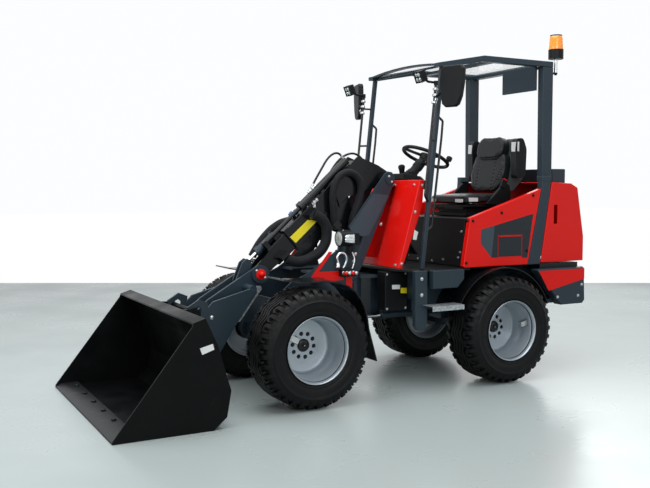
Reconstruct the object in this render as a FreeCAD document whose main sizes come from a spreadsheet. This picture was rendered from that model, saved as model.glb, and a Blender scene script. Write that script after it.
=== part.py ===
"""Mini wheel loader: an articulated, four-wheeled loader with a telescopic boom and a bucket.

Millimetres. +X points forward, +Y to the operator's left, +Z up. The origin is on the floor
under the middle of the machine's bounding box. The machine stands straight, its boom fully
lowered and its bucket flat on the floor.
"""

import FreeCAD, Part
import math
import os
import re

import Sketcher
from FreeCAD import Placement, Rotation, Vector

# Driving dimensions. Each one is a cell of the sheet, and the sub-parts' sizes are bound to it.
DIMENSIONS = {
    # wheels and axles
    "wheel_base": 1515, "front_axle_x": 517.5, "tyre_outer": 368.5, "tyre_width": 318,
    "wheel_mid_y": 504, "tyre_bead": 194, "rim_flange": 208.5, "rim_barrel": 192,
    "rim_wall": 7, "rim_half": 150, "hub_plate": 108, "hub_inset": 58, "hub_thick": 9,
    "hub_bore": 40, "hub_rise": 22,
    "axle_half": 52, "axle_beam_end": 330, "axle_motor": 78, "axle_motor_end": 432,
    "axle_pad": 90,
    # rear frame
    "frame_half": 292, "frame_wall": 12, "frame_front_x": -400, "frame_step_x": -650,
    "frame_rear_x": -1480, "frame_low": 430, "frame_step_z": 505, "deck_z": 800,
    "deck_plate": 12, "cab_half": 500, "sill_wide": 55, "sill_low": 680, "sill_front_x": -400,
    "sill_rear_x": -655, "foot_front_x": -282, "foot_low": 405,
    # articulation
    "steer_x": -110, "ear_thick": 25, "ear_low": 440, "ear_high": 722, "ear_round": 58,
    "pin_round": 25, "pin_gap": 0.05, "sleeve_round": 50, "ear_gap": 3,
    # front frame and mast
    "front_half": 240, "front_wall": 12, "front_rear_x": 45, "front_nose_x": 620,
    "front_low": 430, "mast_inner": 123, "mast_wall": 12, "pivot_x": -320, "pivot_z": 1412,
    "pivot_pin": 24,
    # boom, in its own frame: along the boom from its pivot, and square to it
    "boom_slope": 42, "boom_offset": 184, "boom_high": 160, "boom_wide": 130, "tube_wall": 8,
    "boom_start": 100, "boom_end": 820, "inner_high": 134, "inner_wide": 104,
    "inner_start": 250, "inner_end": 985, "head_reach": 1134.5, "fork_half": 45,
    "cheek_wall": 12, "lift_lug_along": 416, "lift_lug_drop": -59, "tilt_lever": 95,
    "tilt_base_along": 868, "ram_top": 296, "ram_side": 46,
    # lift ram
    "lift_base_x": 90, "lift_base_z": 330, "lift_barrel": 38, "lift_rod": 22, "lift_eye": 33,
    # carrier and bucket
    "arm_inner": 57, "arm_wall": 18, "frame_plate_out": 200, "hitch_half": 270,
    "bucket_half": 750, "bucket_wall": 8, "bucket_lip_x": 1800, "bucket_heel_x": 1231,
    "edge_wide": 150, "edge_thick": 16,
    # cab
    "post_wide": 52, "roof_z": 2262, "roof_front_z": 2182, "roof_rail": 40, "roof_crown": 28,
    "roof_front_x": -500, "roof_rear_x": -1517, "roof_half": 451, "front_post": 28,
    "rear_post_front": -1427, "seat_front_x": -720, "seat_deck_z": 1140,
    "panel_thick": 40,
    # rear body
    "hood_front_x": -1477, "hood_hinge_x": -1534, "hood_rear_x": -1800, "hood_low": 812,
    "hood_top": 1392, "hood_wall": 6, "bumper_low": 500, "tow_bore": 13,
}
WORD = re.compile(r"[a-z][a-z0-9_]*")

DOC = FreeCAD.newDocument("mini_wheel_loader")
SUBPARTS = []


def dim(name):
    """Return one driving dimension as a number."""
    return float(DIMENSIONS[name])


def fill_sheet():
    """Write the driving dimensions into the sheet, each with its alias."""
    sheet = DOC.addObject("Spreadsheet::Sheet", "Dims")
    for row, (name, value) in enumerate(DIMENSIONS.items(), start=1):
        sheet.set(f"A{row}", name)
        sheet.set(f"B{row}", str(value))
        sheet.setAlias(f"B{row}", name)
    DOC.recompute()


def bound(expression):
    """Return an expression with each dimension's name pointed at the sheet."""
    return WORD.sub(lambda word: f"Dims.{word[0]}" if word[0] in DIMENSIONS else word[0],
                    str(expression))


def bind(obj, **properties):
    """Bind properties of an object to expressions. A double underscore stands for a dot."""
    for name, expression in properties.items():
        obj.setExpression(name.replace("__", "."), bound(expression))
    return obj


def subpart(label, obj, placement=None):
    """Name an object as one sub-part of the machine and give it its place."""
    obj.Label = label
    if placement is not None:
        obj.Placement = placement
    SUBPARTS.append(obj)
    return obj


# ---------------------------------------------------------------- shapes

def sketch_plane(body, role):
    """Find an origin plane of a body by its role."""
    return next(item for item in body.Origin.OriginFeatures if item.Role == role)


def draw_outline(sketch, points, holes):
    """Draw a closed outline with round holes, each point held at its own two distances."""
    count = len(points)
    seeds = [Vector(math.cos(2 * math.pi * i / count), math.sin(2 * math.pi * i / count), 0) * 100
             for i in range(count)]
    sketch.addGeometry([Part.LineSegment(seeds[i], seeds[(i + 1) % count])
                        for i in range(count)])
    for i in range(count):
        sketch.addConstraint(Sketcher.Constraint("Coincident", i, 2, (i + 1) % count, 1))
    for i, (across, up) in enumerate(points):
        hold(sketch, ("DistanceX", -1, 1, i, 1, seeds[i].x), across)
        hold(sketch, ("DistanceY", -1, 1, i, 1, seeds[i].y), up)
    for across, up, radius in holes:
        circle = sketch.addGeometry(Part.Circle(Vector(1, 1, 0), Vector(0, 0, 1), 5))
        hold(sketch, ("DistanceX", -1, 1, circle, 3, 1), across)
        hold(sketch, ("DistanceY", -1, 1, circle, 3, 1), up)
        hold(sketch, ("Radius", circle, 5), radius)


def hold(sketch, constraint, expression):
    """Add one dimension to a sketch and bind it."""
    index = sketch.addConstraint(Sketcher.Constraint(*constraint))
    sketch.setExpression(f"Constraints[{index}]", bound(expression))


def prism(name, role, start, end, points, holes=(), ease=None):
    """Pad an outline between two distances along the plane's axis, with eased edges if asked.

    On XZ_Plane the outline is (x, z) and the distances are along Y, on YZ_Plane it is (y, z)
    and along X, and on XY_Plane it is (x, y) and along Z.
    """
    body = DOC.addObject("PartDesign::Body", name)
    sketch = body.newObject("Sketcher::SketchObject", f"{name}_outline")
    sketch.AttachmentSupport = [(sketch_plane(body, role), "")]
    sketch.MapMode = "FlatFace"
    offset = f"-({end})" if role == "XZ_Plane" else start
    bind(sketch, AttachmentOffset__Base__z=offset)
    draw_outline(sketch, points, holes)
    pad = body.newObject("PartDesign::Pad", f"{name}_pad")
    pad.Profile = sketch
    bind(pad, Length=f"({end}) - ({start})")
    sketch.Visibility = False
    if ease is not None:
        DOC.recompute()
        fillet = body.newObject("PartDesign::Fillet", f"{name}_ease")
        fillet.Base = (pad, [""])
        fillet.UseAllEdges = True
        bind(fillet, Radius=ease)
        body.Tip = fillet
    return body


def spin(name, points):
    """Turn a closed (radius, along-axle) outline once round the Y axis."""
    body = DOC.addObject("PartDesign::Body", name)
    sketch = body.newObject("Sketcher::SketchObject", f"{name}_section")
    sketch.AttachmentSupport = [(sketch_plane(body, "XY_Plane"), "")]
    sketch.MapMode = "FlatFace"
    draw_outline(sketch, points, ())
    turn = body.newObject("PartDesign::Revolution", f"{name}_turn")
    turn.Profile = sketch
    turn.ReferenceAxis = (sketch, ["V_Axis"])
    turn.Angle = 360
    return body


def box(x0, x1, y0, y1, z0, z1):
    """Make a box between two corners."""
    solid = DOC.addObject("Part::Box", "Block")
    bind(solid, Length=f"({x1}) - ({x0})", Width=f"({y1}) - ({y0})", Height=f"({z1}) - ({z0})",
         Placement__Base__x=x0, Placement__Base__y=y0, Placement__Base__z=z0)
    return solid


def eased_box(name, x0, x1, y0, y1, z0, z1, ease):
    """Make a box with rounded edges."""
    return prism(name, "XY_Plane", z0, z1, [(x0, y0), (x1, y0), (x1, y1), (x0, y1)], ease=ease)


AXIS_TURNS = {"x": Rotation(Vector(0, 1, 0), 90), "y": Rotation(Vector(1, 0, 0), -90),
              "z": Rotation()}


def rod(axis, x, y, z, length, radius):
    """Make a cylinder that runs from a point along +X, +Y or +Z."""
    solid = DOC.addObject("Part::Cylinder", "Round")
    solid.Placement = Placement(Vector(), AXIS_TURNS[axis])
    return bind(solid, Radius=radius, Height=length, Placement__Base__x=x,
                Placement__Base__y=y, Placement__Base__z=z)


def fuse(*parts):
    """Weld overlapping shapes into one solid."""
    solid = DOC.addObject("Part::MultiFuse", "Weld")
    solid.Shapes = list(parts)
    return solid


def cut(base, *tools):
    """Cut shapes away from a base."""
    solid = DOC.addObject("Part::Cut", "Cut")
    solid.Base = base
    solid.Tool = tools[0] if len(tools) == 1 else fuse(*tools)
    return solid


def group(*parts):
    """Keep solids that don't touch together in one shape."""
    solid = DOC.addObject("Part::Compound", "Set")
    solid.Links = list(parts)
    return solid


def mirrored(part):
    """Mirror a shape from the left side to the right."""
    solid = DOC.addObject("Part::Mirroring", "Mirror")
    solid.Source = part
    solid.Normal = Vector(0, 1, 0)
    return solid


def both(part):
    """Return a shape together with its mirror image on the right side."""
    return group(part, mirrored(part))


ARC_SHARE = 0.45


def bend_radii(points):
    """Return the largest arc that the two runs at each corner of a hose's route allow."""
    radii = []
    for before, corner, after in zip(points, points[1:], points[2:]):
        back, ahead = before - corner, after - corner
        reach = ARC_SHARE * min(back.Length, ahead.Length)
        radii.append(reach * math.tan(back.getAngle(ahead) / 2))
    return radii


def tube_along(points, radius, bends):
    """Sweep a round bar along straight runs joined by tangent arcs of the given radii."""
    edges = []
    start = points[0]
    for before, corner, after, bend in zip(points, points[1:], points[2:], bends):
        back = (before - corner).normalize()
        ahead = (after - corner).normalize()
        half = back.getAngle(ahead) / 2
        reach = bend / math.tan(half)
        middle = corner + (back + ahead).normalize() * (bend / math.sin(half) - bend)
        edges.append(Part.LineSegment(start, corner + back * reach).toShape())
        edges.append(Part.Arc(corner + back * reach, middle, corner + ahead * reach).toShape())
        start = corner + ahead * reach
    edges.append(Part.LineSegment(start, points[-1]).toShape())
    path = Part.Wire(edges)
    section = Part.Wire([Part.Circle(points[0], points[1] - points[0], radius).toShape()])
    return path.makePipeShell([section], True, False), path.Length


def bent_bar(routes, radius, bend):
    """Make bent round bars, one for each route, as a plain feature."""
    feature = DOC.addObject("Part::Feature", "Bars")
    bars = [tube_along([Vector(*point) for point in route], radius,
                       [bend] * (len(route) - 2))[0] for route in routes]
    feature.Shape = bars[0] if len(bars) == 1 else Part.Compound(bars)
    return feature


def flip(route):
    """Mirror a route of points from the left side to the right."""
    return [(x, -y, z) for x, y, z in route]


# ---------------------------------------------------------------- wheels and axles

WHEELS = {"front_left": ("front_axle_x", 1), "front_right": ("front_axle_x", -1),
          "rear_left": ("front_axle_x - wheel_base", 1),
          "rear_right": ("front_axle_x - wheel_base", -1)}


def tyre(corner, axle, side):
    """Make one tyre: a ring from its beads out to its lugs."""
    half = "tyre_width / 2"
    section = [("tyre_bead", f"{half} - 32"), ("tyre_bead + 20", f"{half} - 18"),
               ("tyre_bead + 62", f"{half} - 3"), ("tyre_bead + 92", half),
               ("tyre_outer - 42", f"{half} - 8"), ("tyre_outer - 12", f"{half} - 20"),
               ("tyre_outer", f"{half} - 42")]
    cavity = [("tyre_bead", f"{half} - 50"), ("tyre_bead + 24", f"{half} - 36"),
              ("tyre_bead + 62", f"{half} - 19"), ("tyre_bead + 92", f"{half} - 17"),
              ("tyre_outer - 50", f"{half} - 26"), ("tyre_outer - 36", f"{half} - 44")]
    outer = section + [(r, f"-({y})") for r, y in reversed(section)]
    inner = [(r, f"-({y})") for r, y in cavity] + list(reversed(cavity))
    ring = spin(f"tyre_ring_{corner}", outer + inner)
    bind(ring, Placement__Base__x=axle, Placement__Base__y=f"{side} * wheel_mid_y",
         Placement__Base__z="tyre_outer")
    subpart(f"tyre_{corner}", ring)


def rim(corner, axle, side):
    """Make one deep-dished rim with its hub flange and wheel-nut holes."""
    out = f"{side} * "
    inner = "rim_barrel - rim_wall"
    section = [("rim_flange", f"{out}rim_half"), ("rim_flange", f"{out}(rim_half - 6)"),
               ("rim_barrel", f"{out}(rim_half - 14)"), ("rim_barrel", f"-{out}(rim_half - 14)"),
               ("rim_flange", f"-{out}(rim_half - 6)"), ("rim_flange", f"-{out}rim_half"),
               (f"{inner} + 6", f"-{out}rim_half"), (inner, f"-{out}(rim_half - 10)"),
               (inner, f"-{out}(hub_inset + hub_thick - 6)"),
               ("hub_plate", f"-{out}(hub_inset + hub_thick)"),
               (0, f"-{out}(hub_inset + hub_thick)"), (0, f"-{out}(hub_inset - hub_rise)"),
               ("hub_bore - 8", f"-{out}(hub_inset - hub_rise)"),
               ("hub_bore", f"-{out}(hub_inset - hub_rise + 8)"),
               ("hub_bore", f"-{out}hub_inset"), ("hub_plate", f"-{out}hub_inset"),
               (inner, f"-{out}(hub_inset - 12)"),
               (inner, f"{out}(rim_half - 10)"), (f"{inner} + 6", f"{out}rim_half")]
    wheel = spin(f"rim_turn_{corner}", section)
    bind(wheel, Placement__Base__x=axle, Placement__Base__y=f"{side} * wheel_mid_y",
         Placement__Base__z="tyre_outer")
    subpart(f"rim_{corner}", wheel)


def axle(label, x, top):
    """Make one axle: a square beam, a drive motor at each end, and pads up to the frame."""
    low, high = "tyre_outer - axle_half", "tyre_outer + axle_half"
    beam = box(f"{x} - axle_half", f"{x} + axle_half", "-axle_beam_end", "axle_beam_end",
               low, high)
    motor = rod("y", x, "axle_beam_end - 5", "tyre_outer", "axle_motor_end - axle_beam_end + 5",
                "axle_motor")
    flange = rod("y", x, "axle_beam_end - 14", "tyre_outer", 14, "axle_motor + 14")
    pad = box(f"{x} - axle_pad", f"{x} + axle_pad", 130, 215, f"{high} - 8", top)
    subpart(label, fuse(beam, motor, mirrored(motor), flange, mirrored(flange), pad,
                        mirrored(pad)))


def running_gear():
    """Make the four wheels and the two axles."""
    for corner, (x, side) in WHEELS.items():
        tyre(corner, x, side)
        rim(corner, x, side)
    axle("front_axle", "front_axle_x", "front_low")
    axle("rear_axle", "(front_axle_x - wheel_base)", "frame_low")


# ---------------------------------------------------------------- rear frame

def rear_frame():
    """Make the rear frame: a trough that carries the battery, its ears, sills and feet."""
    inner = "frame_half - frame_wall"
    hull = [("frame_front_x", "frame_step_z"), ("frame_step_x", "frame_step_z"),
            ("frame_step_x", "frame_low"), ("frame_rear_x", "frame_low"),
            ("frame_rear_x", "deck_z - deck_plate"), ("frame_front_x", "deck_z - deck_plate")]
    hollow = [("frame_front_x - frame_wall", "frame_step_z + frame_wall"),
              ("frame_step_x - frame_wall", "frame_step_z + frame_wall"),
              ("frame_step_x - frame_wall", "frame_low + frame_wall"),
              ("frame_rear_x + frame_wall", "frame_low + frame_wall"),
              ("frame_rear_x + frame_wall", "deck_z + 5"),
              ("frame_front_x - frame_wall", "deck_z + 5")]
    trough = cut(prism("trough", "XZ_Plane", "-frame_half", "frame_half", hull),
                 prism("trough_hollow", "XZ_Plane", f"-({inner})", inner, hollow))
    ears = [ear("ear_low"), ear("ear_high")]
    stem = box("frame_front_x - 5", "steer_x - 95", -70, 70, "frame_step_z", "ear_high + 5")
    tail = box("frame_front_x - 5", "steer_x - 95", -70, 70, "ear_low", "frame_step_z + 5")
    beam = box("frame_step_x", "frame_front_x + 5", -200, 200, "ear_low", "frame_step_z + 5")
    bay = box("frame_step_x - 5", "frame_step_x + 90", 125, 215, "ear_low - 40", "ear_low + 45")
    sill = prism("sill", "XZ_Plane", "cab_half - 5", "cab_half - 5 + sill_wide",
                 [("sill_front_x", "sill_low"), ("sill_rear_x + 55", "sill_low"),
                  ("sill_rear_x", "sill_low + 55"), ("sill_rear_x", "deck_z"),
                  ("sill_front_x", "deck_z")], ease=4)
    arms = [box(x, f"{x} + 40", "frame_half - 5", "cab_half", "sill_low + 10",
                "deck_z - deck_plate") for x in ("frame_front_x - 52", "sill_rear_x + 8")]
    foot = prism("foot", "XZ_Plane", "cab_half - 24", "cab_half + 14",
                 [("foot_front_x", "foot_low + 30"), ("foot_front_x - 18", "foot_low"),
                  ("foot_front_x - 82", "foot_low"), ("foot_front_x - 96", "foot_low + 40"),
                  ("foot_front_x - 96", "deck_z"), ("foot_front_x", "deck_z")], ease=4)
    web = box("foot_front_x - 92", "foot_front_x - 80", "frame_half - 5", "cab_half - 20",
              "sill_low - 90", "deck_z - deck_plate")
    parts = [trough, *ears, stem, cut(beam, bay), tail]
    for side_part in (sill, *arms, foot, web):
        parts += [side_part, mirrored(side_part)]
    subpart("rear_frame", cut(fuse(*parts), rod("z", "steer_x", 0, 0, 1000, "pin_round"),
                              steer_pocket()))
    subpart("articulation_pin", fuse(rod("z", "steer_x", 0, "ear_low - 8",
                                         "ear_high + ear_thick - ear_low + 16", "pin_round"),
                                     rod("z", "steer_x", 0, "ear_high + ear_thick", 12,
                                         "pin_round + 14")))


def ear(low):
    """Make one horizontal hinge ear, tapered to a round end over the articulation axis."""
    plate = prism("ear", "XY_Plane", low, f"{low} + ear_thick",
                  [("frame_front_x", -200), ("steer_x - 20", "-ear_round + 2"),
                   ("steer_x", "-ear_round"), ("steer_x", "ear_round"),
                   ("steer_x - 20", "ear_round - 2"), ("frame_front_x", 200)])
    return fuse(plate, rod("z", "steer_x", 0, low, "ear_thick", "ear_round"))


STEER_RAM_Y = 170
STEER_RAM_Z = 472
STEER_BASE_X = -590
STEER_EYE_X = -20


def steer_pocket():
    """Make the room that the steering ram's barrel needs under the frame's step."""
    return prism("steer_room", "XY_Plane", 405, STEER_RAM_Z + 31,
                 [(-660, 130), (-400, 118), (-200, 98), (-200, 242), (-400, 222), (-660, 210)])


def battery():
    """Make the battery pack as one plain block in the frame."""
    subpart("battery_pack", eased_box("battery", "frame_step_x - 40", "frame_rear_x + 60", -235,
                                      235, "frame_low + frame_wall", "deck_z - 60", 6))


def rear_fenders():
    """Make the rear fenders: arched strips over the inner part of each rear tyre."""
    centre = "front_axle_x - wheel_base"
    arch = []
    for radius in ("tyre_outer + 62", "tyre_outer + 56"):
        disc = rod("y", centre, "frame_half + 1", "tyre_outer",
                   "cab_half + 62 - frame_half - 1", radius)
        arch.append(disc)
    keep = box(f"{centre} - 400", f"{centre} + 405", "frame_half - 50", "cab_half + 100",
               "tyre_outer + 150", "deck_z + 40")
    trim = box(f"{centre} - 600", f"{centre} + 600", "frame_half - 50", "cab_half + 200",
               "deck_z + 1", "deck_z + 200")
    ring = cut(arch[0], arch[1], trim)
    common = DOC.addObject("Part::Common", "Arch")
    common.Base = ring
    common.Tool = keep
    subpart("rear_fenders", both(common))


def bumper():
    """Make the rear counterweight that wraps the tail below the hood, with its towing eye."""
    side = prism("bumper_side", "XZ_Plane", "cab_half - 30", "cab_half + 50",
                 [("frame_rear_x + 180", "deck_z - 32"), ("hood_rear_x + 40", "deck_z - 32"),
                  ("hood_rear_x + 28", "bumper_low + 25"), ("hood_rear_x + 50", "bumper_low"),
                  ("frame_rear_x - 60", "bumper_low")], ease=8)
    back = eased_box("bumper_back", "hood_rear_x", "hood_rear_x + 70", "-cab_half", "cab_half",
                     "bumper_low", "deck_z - 32", 8)
    bars = [box("frame_rear_x - 260", "frame_rear_x - 2", y, f"{y} + 40", "bumper_low + 20",
                "deck_z - 60") for y in (-270, 230)]
    shelf = box("hood_rear_x + 40", "frame_rear_x + 40", "frame_half + 4", "cab_half - 20",
                "bumper_low + 10", "bumper_low + 40")
    eye = fuse(box("hood_rear_x + 20", "frame_rear_x - 60", -45, 45, "bumper_low - 78",
                   "bumper_low - 60"),
               box("hood_rear_x + 20", "hood_rear_x + 36", -45, 45, "bumper_low - 62",
                   "bumper_low + 40"))
    weight = fuse(side, mirrored(side), back, shelf, mirrored(shelf), *bars, eye)
    subpart("rear_bumper", cut(weight, rod("z", "hood_rear_x + 58", 0, "bumper_low - 100", 60,
                                           "tow_bore")))


def deck():
    """Make the floor plate of the footwell and the box that carries the seat."""
    plate = prism("floor", "XY_Plane", "deck_z - deck_plate", "deck_z",
                  [(-215, -300), (-215, 300), (-330, "cab_half - 6"),
                   ("seat_front_x - 30", "cab_half - 6"), ("seat_front_x - 30", "-cab_half + 6"),
                   (-330, "-cab_half + 6")])
    slot = box("foot_front_x - 100", "foot_front_x + 4", "cab_half - 26", "cab_half + 20",
               "deck_z - 20", "deck_z + 20")
    subpart("floor_plate", cut(plate, slot, mirrored(slot)))
    outer = prism("seat_shell", "XZ_Plane", "-cab_half + post_wide + 2",
                  "cab_half - post_wide - 2",
                  [("seat_front_x", "deck_z + 2"), ("seat_front_x - 12", "seat_deck_z"),
                   ("frame_rear_x + 190", "seat_deck_z"), ("frame_rear_x + 190", "deck_z + 2")],
                  ease=5)
    inner = box("frame_rear_x + 200", "seat_front_x - 24", "-cab_half + post_wide + 14",
                "cab_half - post_wide - 14", "deck_z - 10", "seat_deck_z - 10")
    subpart("seat_box", cut(outer, inner))


def side_panels():
    """Make the two side panels beside the seat, with the recess of the charging flap."""
    outline = [(-687, "deck_z + 14"), (-740, 1145), (-1378, 1346), (-1259, "deck_z + 4"),
               (-700, "deck_z + 4")]
    panel = prism("side_panel", "XZ_Plane", "cab_half - panel_thick", "cab_half", outline, ease=5)
    recess = box(*FLAP_X, "cab_half - 12", "cab_half + 5", *FLAP_Z)
    plain = prism("side_panel_far", "XZ_Plane", "-cab_half", "-cab_half + panel_thick", outline,
                  ease=5)
    subpart("side_panels", group(cut(panel, recess), plain))
    flap = eased_box("flap", f"{FLAP_X[0]} + 3", f"{FLAP_X[1]} - 3", "cab_half - 7",
                     "cab_half + 1", f"{FLAP_Z[0]} + 3", f"{FLAP_Z[1]} - 3", 1.5)
    hinge = rod("x", FLAP_X[0] + 8, "cab_half + 1", FLAP_Z[1] - 5, 196, 3.5)
    subpart("charge_flap", fuse(flap, hinge))


FLAP_X = (-1200, -988)
FLAP_Z = (868, 1016)


def cowl():
    """Make the raked front shield of the cab, with its narrow middle recess."""
    face = [(-230, "deck_z + 8"), (-402, 1405), (-438, 1405), (-422, 1222), (-262, "deck_z + 8")]
    shield = prism("shield", "XZ_Plane", -385, 385, face, ease=6)
    pocket_face = [(-210, "deck_z + 60"), (-370, 1360), (-470, 1360), (-330, "deck_z + 60")]
    housing_face = [(-240, "deck_z + 50"), (-395, 1372), (-480, 1372), (-342, "deck_z + 50")]
    housing = prism("shield_housing", "XZ_Plane", -112, 112, housing_face)
    pocket = prism("shield_pocket", "XZ_Plane", -102, 102, pocket_face)
    subpart("front_shield", cut(fuse(shield, housing), pocket))


def console():
    """Make the dashboard on the shield, with the steering column that stands on it."""
    desk = prism("desk", "XZ_Plane", -165, 165,
                 [(-402, 1408), (-412, 1452), (-560, 1432), (-640, 1372), (-630, 1345),
                  (-490, 1330), (-443, 1330), (-443, 1408)], ease=4)
    room = box(-500, -430, -113, 113, 1300, 1374)
    foot = Vector(-560, 0, 1415)
    head = Vector(*STEERING_HUB)
    column = DOC.addObject("Part::Cone", "Column")
    column.Placement = Placement(foot, Rotation(Vector(0, 0, 1), head - foot))
    bind(column, Radius1=34, Radius2=24, Height=(head - foot).Length - 38)
    subpart("dashboard", cut(fuse(desk, column), room))


STEERING_HUB = (-715, 0, 1575)
STEERING_TILT = 25


def steering_wheel():
    """Make the steering wheel: a ring, three spokes and a spinner knob, tilted to the seat."""
    ring = DOC.addObject("Part::Torus", "Ring")
    bind(ring, Radius1=170, Radius2=13)
    hub = rod("z", 0, 0, -22, 34, 42)
    spokes = []
    for angle in (90, 210, 330):
        spoke = box(30, 165, -11, 11, -6, 4)
        holder = group(spoke)
        holder.Placement = Placement(Vector(), Rotation(Vector(0, 0, 1), angle))
        spokes.append(holder)
    knob = fuse(rod("z", -120, 118, 4, 44, 9), rod("z", -120, 118, 24, 30, 20))
    tilt = Rotation(Vector(0, 1, 0), -STEERING_TILT)
    subpart("steering_wheel", fuse(ring, hub, *spokes, knob),
            Placement(Vector(*STEERING_HUB), tilt))


# ---------------------------------------------------------------- cab

def posts():
    """Make the roll-over frame: front and rear posts and the roof's rails."""
    inner = "roof_half - 13 - front_post"
    front = prism("front_post", "XZ_Plane", inner, "roof_half - 13",
                  [(-378, "deck_z + 2"), (-530, "roof_front_z - 22"),
                   ("-530 - front_post", "roof_front_z - 22"), ("-378 - front_post",
                                                               "deck_z + 2")], ease=3)
    subpart("front_posts", both(front))
    wide = ("roof_half - 56", "roof_half")
    lower = prism("rear_post_low", "XZ_Plane", "cab_half - post_wide", "cab_half",
                  [(-1262, "deck_z + 2"), (-1381, 1337), (-1386, 1400), (-1468, 1400),
                   (-1462, 1337), (-1372, "deck_z + 2")], ease=4)
    crank = prism("rear_post_crank", "XY_Plane", 1398, 1436,
                  [(-1386, "cab_half"), (-1386, "cab_half - post_wide"),
                   ("rear_post_front", "roof_half - 56"), ("roof_rear_x", "roof_half - 56"),
                   ("roof_rear_x", "roof_half"), (-1471, "cab_half")], ease=4)
    upper = prism("rear_post", "XZ_Plane", *wide,
                  [("rear_post_front", 1430), ("rear_post_front + 6", "roof_z - roof_rail - 1"),
                   ("roof_rear_x", "roof_z - roof_rail - 1"), ("roof_rear_x", 1430)], ease=4)
    subpart("rear_posts", both(fuse(lower, crank, upper)))
    rail = prism("roof_rail", "XZ_Plane", *wide,
                 [("roof_front_x", "roof_front_z - 20"), ("roof_front_x + 2", "roof_front_z + 6"),
                  ("roof_front_x - 388", "roof_z"), ("roof_rear_x", "roof_z"),
                  ("roof_rear_x", "roof_z - roof_rail"),
                  ("roof_front_x - 388", "roof_z - roof_rail"),
                  ("roof_front_x - 70", "roof_front_z - 20")], ease=4)
    header = prism("front_header", "YZ_Plane", "roof_front_x - 40", "roof_front_x - 1",
                   crowned("roof_front_z + 14", 0) + list(reversed(crowned(
                       "roof_front_z + 14", 12))))
    tube = rod("y", "roof_front_x - 44", "-roof_half + 20", "roof_front_z - 10",
               "2 * roof_half - 40", 8)
    back = box("roof_rear_x", "roof_rear_x + 60", "-roof_half + 5", "roof_half - 5",
               "roof_z - roof_rail", "roof_z - 6")
    cross = box(-1010, -960, "-roof_half + 5", "roof_half - 5", "roof_z - 40", "roof_z - 20")
    panel = prism("roof_sheet", "XZ_Plane", "-roof_half + 59", "roof_half - 59",
                  [("roof_front_x - 46", "roof_front_z + 9"), ("roof_front_x - 388", "roof_z - 9"),
                   ("roof_rear_x + 64", "roof_z - 9"), ("roof_rear_x + 64", "roof_z - 15"),
                   ("roof_front_x - 388", "roof_z - 15"), ("roof_front_x - 46",
                                                          "roof_front_z + 3")])
    subpart("roof_panel", panel)
    visor = eased_box("roof_console", "roof_rear_x + 100", "roof_rear_x + 118", 30,
                      "roof_half - 58", 2056, "roof_z - 30", 3)
    hanger = box("roof_rear_x + 50", "roof_rear_x + 112", 60, "roof_half - 90", "roof_z - roof_rail - 6",
                 "roof_z - 34")
    subpart("roof_frame", fuse(rail, mirrored(rail), header, tube, back, cross, visor, hanger))


def crowned(height, drop):
    """Return points across the cab on the crowned line of the front header."""
    steps = 8
    points = []
    for i in range(steps + 1):
        share = 2 * i / steps - 1
        rise = f"roof_crown * {1 - share * share:.4f}"
        points.append((f"(roof_half - 2) * {share:.4f}", f"{height} - {drop} + {rise} - 14"))
    return points


def seat():
    """Make the seat: its suspension base, cushion, backrest and its two raised arm rests."""
    base = eased_box("seat_slide", -1270, -930, -190, 190, "seat_deck_z + 3", 1172, 6)
    bellows = eased_box("seat_bellows", -1250, -955, -165, 165, 1168, 1212, 6)
    pan = eased_box("seat_pan", -1290, -925, -215, 215, 1210, 1228, 4)
    subpart("seat_base", fuse(base, bellows, pan))
    cushion = prism("cushion", "XZ_Plane", -240, 240,
                    [(-905, 1232), (-900, 1275), (-930, 1302), (-1240, 1290), (-1270, 1270),
                     (-1270, 1232)], ease=16)
    subpart("seat_cushion", cushion)
    back = prism("backrest", "XZ_Plane", -210, 210,
                 [(-1246, 1318), (-1230, 1400), (-1300, 1700), (-1330, 1745), (-1392, 1740),
                  (-1400, 1690), (-1330, 1318)], ease=16)
    arm_rest = eased_box("arm_rest", -1428, -1322, 226, 284, 1420, 1722, 14)
    subpart("seat_backrest", group(back, arm_rest, mirrored(arm_rest)))


LAMP_Y = 463
MIRROR_FACE = [(-88, 118), (-70, 135), (70, 135), (92, 110), (88, 20), (72, -70), (48, -122),
               (25, -135), (-50, -135), (-76, -112), (-92, -20), (-92, 80)]


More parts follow.
